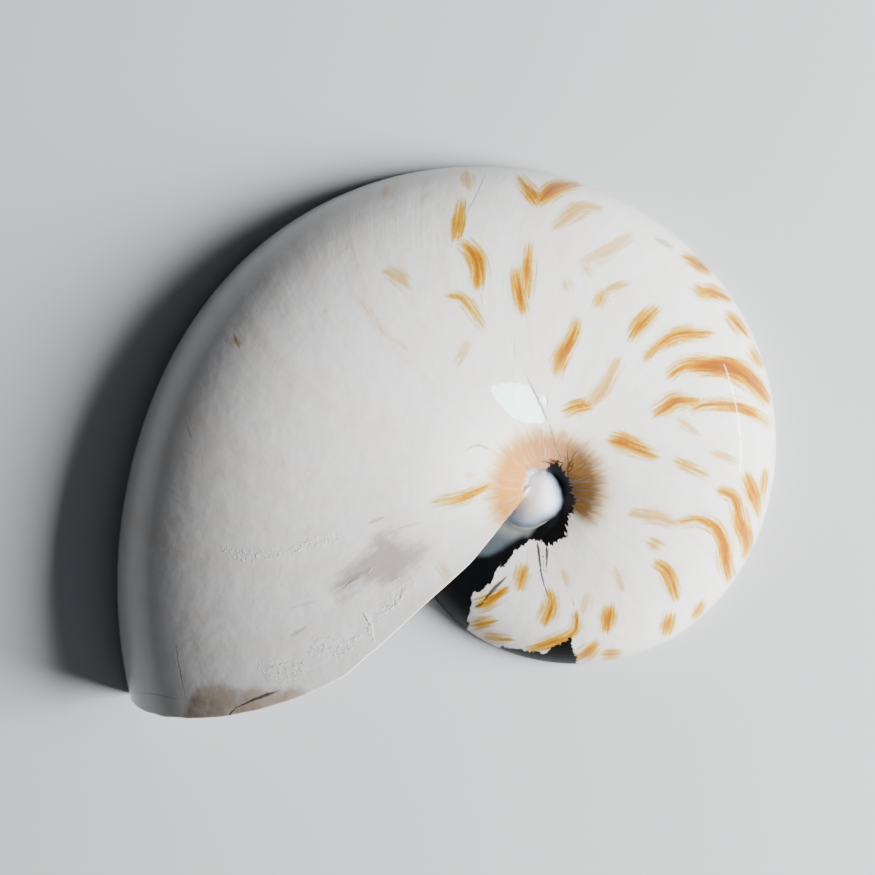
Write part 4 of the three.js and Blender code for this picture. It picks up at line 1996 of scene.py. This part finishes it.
@dataclass(frozen=True)
class OutsideFinish:
    """Porcelain-white shell with orange flames, a stained umbilicus and old scars."""

    white: Paint = paint(205, 204, 204)
    warm: Paint = paint(199, 191, 181)
    cool: Paint = paint(190, 192, 197)
    ochre: Paint = paint(180, 144, 44)
    orange: Paint = paint(156, 100, 12)
    rust: Paint = paint(122, 62, 8)
    tan: Paint = paint(164, 108, 52)
    rose: Paint = paint(146, 100, 70)
    brown: Paint = paint(64, 40, 28)
    taupe: Paint = paint(146, 136, 130)
    stain: Paint = paint(138, 118, 94)
    smear: Paint = paint(92, 80, 76)
    pearl: Paint = paint(238, 255, 253)
    pearl_green: Paint = paint(178, 252, 240)
    pearl_pink: Paint = paint(252, 230, 244)
    black: Paint = paint(14, 11, 10)
    roughness: float = 0.3
    shine: float = 0.2
    coat: float = 0.5
    coat_roughness: float = 0.05
    last_glazed: float = 140.0
    core_glazed: Range = (5.6, 3.4)
    polished_reach: Range = (14.0, 22.0)
    halo: Range = (13.8, 10.0)
    halo_fringe: Range = (15.2, 11.6)
    flame_fringe: Range = (1.1, -0.5)
    flame_core: Range = (-0.1, -1.4)
    flame_heart: Range = (-0.7, -2.2)
    fine_line_height: float = 0.03
    band_height: float = 0.12
    dent_height: float = 0.11
    crack_depth: float = 0.05
    pearl_depth: float = 0.15
    flake_height: float = 0.9
    wave_height: float = 0.15
    waves: Grain = Grain(0.25, 3.0)
    mottle: Grain = Grain(0.06, 3.0)
    cloud: Grain = Grain(0.3, 4.0, 0.6)
    streaks: Grain = Grain(1.0, 3.0)
    breaks: Grain = Grain(0.5, 3.0)
    flakes: Grain = Grain(1.1, 4.0, 0.7)
    taupe_edge: Range = (1.8, -1.8)
    taupe_share: float = 0.85
    stain_edge: Range = (0.6, -1.4)
    stain_share: float = 0.7
    worn_edge: Range = (0.6, -0.5)
    halo_fibres: Fibres = Fibres(9.0, 0.1, 4.0, 0.7)
    halo_hairs: Fibres = Fibres(26.0, 0.3)
    halo_starts: Range = (-0.85, -0.55)
    halo_ends: Range = (-2.2, -2.6)
    halo_tan: Range = (1.7, 2.4)
    halo_brown: Range = (1.35, 0.7)
    flame_fibres: Fibres = Fibres(1.4, 0.13, 3.0, 0.6)
    flame_grain: Grain = Grain(1.6, 3.0, 0.6)
    chip: Grain = Grain(0.9, 3.0)
    chip_edge: Range = (0.2, -0.2)
    chip_rim: Range = (-1.6, -0.2)
    sheen: Grain = Grain(0.16, 1.0)

    def dress(self, groups: SurfaceGroups) -> bpy.types.Material:
        """Make the material.

        Args:
            groups: the shared node groups.

        Returns:
            The material.
        """
        material = new_material(Zone.OUTSIDE)
        tree = material.node_tree
        x, y, z = millimetres(tree, groups.axis)
        place = vector(tree, x, y, z)
        reach = y.reach(x)
        growth = groups.growth.used_in(tree)
        colour = self._ground(tree, place, growth)
        colour = self._halo(tree, colour, y.angle(x), reach)
        colour = self._flames(tree, colour, place)
        cloud = self.cloud.at(tree, place)
        streaks = self.streaks.at(tree, vector(tree, x * 0.7 - y * 0.9, x * 0.12 + y * 0.1))
        taupe = stored(tree, "taupe") + cloud * 4.0 + streaks * 2.5
        taupe = taupe.ramp(*self.taupe_edge)
        colour = blend(tree, colour, self.taupe, taupe * self.taupe_share)
        stain = (stored(tree, "tan") + cloud * 2.0).ramp(*self.stain_edge)
        colour = blend(tree, colour, self.stain, stain * (self.stain_share - cloud))
        colour, pearl = self._pearl(tree, colour, place)
        crack = ThinLine(0.8).drawn(tree, "crack", place)
        colour = blend(tree, colour, self.smear, crack)
        broken = (self.breaks.at(tree, place) * 4.0 + 0.6).clamped()
        dent = ThinLine(1.6).drawn(tree, "dent", place) * broken
        glazed = (growth["Turned"] < self.last_glazed).most(reach.ramp(*self.core_glazed))
        glaze = groups.glaze.used_in(tree, Colour=colour, Where=glazed)
        ink = ThinLine(0.5).drawn(tree, "ink", place)
        colour = blend(tree, glaze["Colour"], self.black, ink)
        surface = material.node_tree.nodes["Principled BSDF"]
        feed(tree, surface.inputs["Base Color"], colour)
        dark = glaze["Film"].most(ink)
        rough = growth["Bands"] * 0.08 + taupe * 0.2 + stain * 0.15 + self.roughness
        feed(tree, surface.inputs["Roughness"], rough - pearl * 0.1 + dark * 0.2)
        polish = reach.ramp(*self.polished_reach) * self.coat
        feed(tree, surface.inputs["Coat Weight"], (1.0 - dark) * polish)
        surface.inputs["Coat Roughness"].default_value = self.coat_roughness
        surface.inputs["Specular IOR Level"].default_value = self.shine
        worn = stored(tree, "worn_edge").ramp(*self.worn_edge)
        worn = worn * stored_parts(tree, "worn_run")[2]
        flakes = self.flakes.at(tree, place).most(0.0)
        lines = growth["Fine"] * self.fine_line_height + growth["Bands"] * self.band_height
        relief = lines * (reach / 60.0).least(1.0)
        relief = relief + dent * self.dent_height - crack * self.crack_depth
        relief = relief - pearl * self.pearl_depth + worn * flakes * self.flake_height
        waves = self.waves.at(tree, place) * self.wave_height
        bump_node(tree, surface, relief + waves)
        return material

    def _ground(self, tree: bpy.types.NodeTree, place: Term, growth: dict[str, Term]) -> Term:
        """The white ground, with faint growth bands.

        Args:
            tree: the material's tree.
            place: the place on the piece.
            growth: the growth lines.

        Returns:
            The colour.
        """
        colour = blend(tree, self.white, self.warm, (growth["Bands"] * 2.4 + 0.3).clamped() * 0.5)
        lines = (growth["Fine"] * 2.0 + 0.2).clamped()
        colour = blend(tree, colour, self.cool, lines * 0.25)
        mottle = self.mottle.at(tree, place)
        return blend(tree, colour, self.warm, (mottle * 3.0).clamped() * 0.5)

    def _halo(self, tree: bpy.types.NodeTree, below: Term, turn: Term, reach: Term) -> Term:
        """The fibrous brown stain round the umbilicus.

        Args:
            tree: the material's tree.
            below: the colour around it.
            turn: the turn round the axis, in radians.
            reach: how far the axis is.

        Returns:
            The colour.
        """
        fibres = self.halo_fibres.at(tree, turn, reach)
        fine = self.halo_hairs.at(tree, turn, reach)
        side = turn.ramp(*self.halo_starts).most(turn.ramp(*self.halo_ends))
        edge = reach + fibres * 5.0 + fine * 1.6
        mask = edge.ramp(*self.halo) * side
        fringe = edge.ramp(*self.halo_fringe) * side
        left = turn.absolute().ramp(*self.halo_tan)
        brown = turn.absolute().ramp(*self.halo_brown)
        colour = blend(tree, self.rose, self.tan, left)
        colour = blend(tree, colour, self.brown, brown * (fine * 1.6 + 0.85).clamped())
        colour = blend(tree, colour, self.ochre, (fibres * 3.0 + 0.15).clamped() * 0.5)
        colour = blend(tree, colour, below, (fine * 1.6 - fibres * 2.0).clamped() * 0.35)
        below = blend(tree, below, self.ochre, fringe * 0.65)
        return blend(tree, below, colour, mask * (fibres * 0.8 + 0.95).clamped())

    def _flames(self, tree: bpy.types.NodeTree, below: Term, place: Term) -> Term:
        """The orange flames, made of fine fibres with an ochre fringe.

        Args:
            tree: the material's tree.
            below: the colour around them.
            place: the place on the piece.

        Returns:
            The colour.
        """
        across, along, depth = stored_parts(tree, "stripe_run")
        fibres = self.flame_fibres.at(tree, across, along)
        fine = self.flame_grain.at(tree, place)
        edge = stored(tree, "stripe_edge") + fibres * 4.0 + fine * 0.9
        edge = edge + (0.75 - depth) * 0.7
        fringe = edge.ramp(*self.flame_fringe)
        core = edge.ramp(*self.flame_core)
        colour = blend(tree, self.ochre, self.orange, (core * (depth * 1.3 + 0.1)).clamped())
        deep = (edge.ramp(*self.flame_heart) * 0.8 - fibres * 1.4) * depth
        colour = blend(tree, colour, self.rust, deep.clamped())
        return blend(tree, below, colour, fringe * (depth + 0.45).clamped())

    def _pearl(
        self, tree: bpy.types.NodeTree, below: Term, place: Term
    ) -> tuple[Term, Term]:
        """The place where the white has chipped off the mother-of-pearl.

        Args:
            tree: the material's tree.
            below: the colour around it.
            place: the place on the piece.

        Returns:
            The colour, and a mask of the bare place.
        """
        mask = stored(tree, "pearl") + self.chip.at(tree, place) * 0.9
        mask = mask.ramp(*self.chip_edge)
        green = self.sheen.at(tree, place) * 3.0 + 0.4
        colour = blend(tree, self.pearl, self.pearl_green, green.clamped())
        pink = stored(tree, "pearl").ramp(*self.chip_rim)
        colour = blend(tree, colour, self.pearl_pink, pink * 0.5)
        return blend(tree, below, colour, mask), mask


@dataclass(frozen=True)
class PearlFinish:
    """Mother-of-pearl, as inside the chambers."""

    white: Paint = paint(226, 224, 222)
    green: Paint = paint(198, 222, 216)
    pink: Paint = paint(232, 208, 214)
    roughness: float = 0.24
    film_thickness: float = 420.0
    film_ior: float = 1.5
    glazed_reach: Range = (46.0, 42.0)
    cloud: Grain = Grain(0.07)
    grain: Grain = Grain(0.5)
    waves: Grain = Grain(0.3, 3.0)
    wave_height: float = 0.3

    def dress(self, groups: SurfaceGroups) -> bpy.types.Material:
        """Make the material.

        Args:
            groups: the shared node groups.

        Returns:
            The material.
        """
        material = new_material(Zone.INSIDE)
        tree = material.node_tree
        x, y, z = millimetres(tree, groups.axis)
        place = vector(tree, x, y, z)
        cloud = self.cloud.at(tree, place)
        colour = blend(tree, self.white, self.green, (cloud * 3.0).clamped())
        colour = blend(tree, colour, self.pink, (cloud * -3.0).clamped())
        near = y.reach(x).ramp(*self.glazed_reach)
        glaze = groups.glaze.used_in(tree, Colour=colour, Where=near)
        colour = glaze["Colour"]
        surface = tree.nodes["Principled BSDF"]
        feed(tree, surface.inputs["Base Color"], colour)
        rough = self.grain.at(tree, place) * 0.1 + glaze["Film"] * 0.3 + self.roughness
        feed(tree, surface.inputs["Roughness"], rough)
        surface.inputs["Thin Film Thickness"].default_value = self.film_thickness
        surface.inputs["Thin Film IOR"].default_value = self.film_ior
        bump_node(tree, surface, self.waves.at(tree, place) * self.wave_height)
        return material


@dataclass(frozen=True)
class CallusFinish:
    """The callus: white glaze that turns blue and then black at its edge, the blue and the
    darkening partly painted shade.
    """

    white: Paint = GlazePaint.white
    black: Paint = GlazePaint.black
    cream: Paint = paint(196, 200, 184)
    roughness: float = 0.3
    shine: float = 0.2
    coat: float = 0.5
    grain: Grain = Grain(0.4)
    waves: Grain = Grain(0.3, 3.0)
    wave_height: float = 0.15

    def dress(self, groups: SurfaceGroups) -> bpy.types.Material:
        """Make the material.

        Args:
            groups: the shared node groups.

        Returns:
            The material.
        """
        material = new_material(Zone.CALLUS)
        tree = material.node_tree
        place = vector(tree, *millimetres(tree, groups.axis))
        glaze = groups.glaze.used_in(tree, Colour=self.white)
        ink = ThinLine(0.5).drawn(tree, "ink", place)
        ring = ThinLine(0.3).drawn(tree, "dent", place)
        colour = blend(tree, glaze["Colour"], self.black, ink)
        colour = blend(tree, colour, self.cream, ring * 0.35)
        surface = tree.nodes["Principled BSDF"]
        feed(tree, surface.inputs["Base Color"], colour)
        rough = self.grain.at(tree, place) * 0.1 + glaze["Film"] * 0.2 + self.roughness
        feed(tree, surface.inputs["Roughness"], rough)
        feed(tree, surface.inputs["Coat Weight"], (1.0 - glaze["Film"]) * self.coat)
        surface.inputs["Specular IOR Level"].default_value = self.shine
        bump_node(tree, surface, self.waves.at(tree, place) * self.wave_height)
        return material


@dataclass(frozen=True)
class SawnFinish:
    """The sawn and ground edge, chalky outside and pearly inside."""

    chalk: Paint = paint(232, 228, 220)
    layer: Paint = paint(206, 202, 198)
    roughness: float = 0.42
    layers: Fibres = Fibres(4.0, 0.5, 2.0)
    marks: Fibres = Fibres(0.2, 5.0)
    mark_height: float = 0.04

    def dress(self, groups: SurfaceGroups) -> bpy.types.Material:
        """Make the material.

        Args:
            groups: the shared node groups.

        Returns:
            The material.
        """
        material = new_material(Zone.SAWN)
        tree = material.node_tree
        x, y, _ = millimetres(tree, groups.axis)
        reach = y.reach(x)
        layers = self.layers.at(tree, reach, reach)
        marks = self.marks.at(tree, x, y)
        colour = blend(tree, self.chalk, self.layer, (layers * 2.0 + 0.4).clamped())
        surface = tree.nodes["Principled BSDF"]
        feed(tree, surface.inputs["Base Color"], colour)
        feed(tree, surface.inputs["Roughness"], marks * 0.12 + self.roughness)
        bump_node(tree, surface, marks * self.mark_height)
        return material


def new_material(zone: Zone) -> bpy.types.Material:
    """Make a material named for a zone.

    Args:
        zone: the zone.

    Returns:
        The material.
    """
    material = bpy.data.materials.new(zone.value)
    material.use_nodes = True
    return material


def bump_node(tree: bpy.types.NodeTree, surface: bpy.types.Node, height: Term) -> None:
    """Bump a surface by a height in millimetres.

    Args:
        tree: the material's tree.
        surface: its shader.
        height: the height.
    """
    inputs = {"Strength": 1.0, "Distance": MILLIMETRE, "Height": height}
    node = make_node(tree, "ShaderNodeBump", inputs)
    tree.links.new(node.outputs["Normal"], surface.inputs["Normal"])


def main() -> None:
    """Build the half, dress it and light it."""
    logging.basicConfig(level=logging.INFO, format="%(message)s")
    half = ShellHalf()
    groups = SurfaceGroups(half.axis, half.lip)
    finishes = (OutsideFinish(), PearlFinish(), SawnFinish(), CallusFinish())
    materials = [finish.dress(groups) for finish in finishes]
    piece = half.build(materials)
    Markings(half.rule, half.axis).apply(piece)
    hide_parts(NODE)
    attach(piece, BODY)
    log.info("%s: %d faces", piece.name, len(piece.data.polygons))
    Studio().build()


if __name__ == "__main__":
    main()
    boxes = {"cad": cad_box, "visual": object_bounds()}
    boxes = {name: [list(corner) for corner in box] for name, box in boxes.items()}
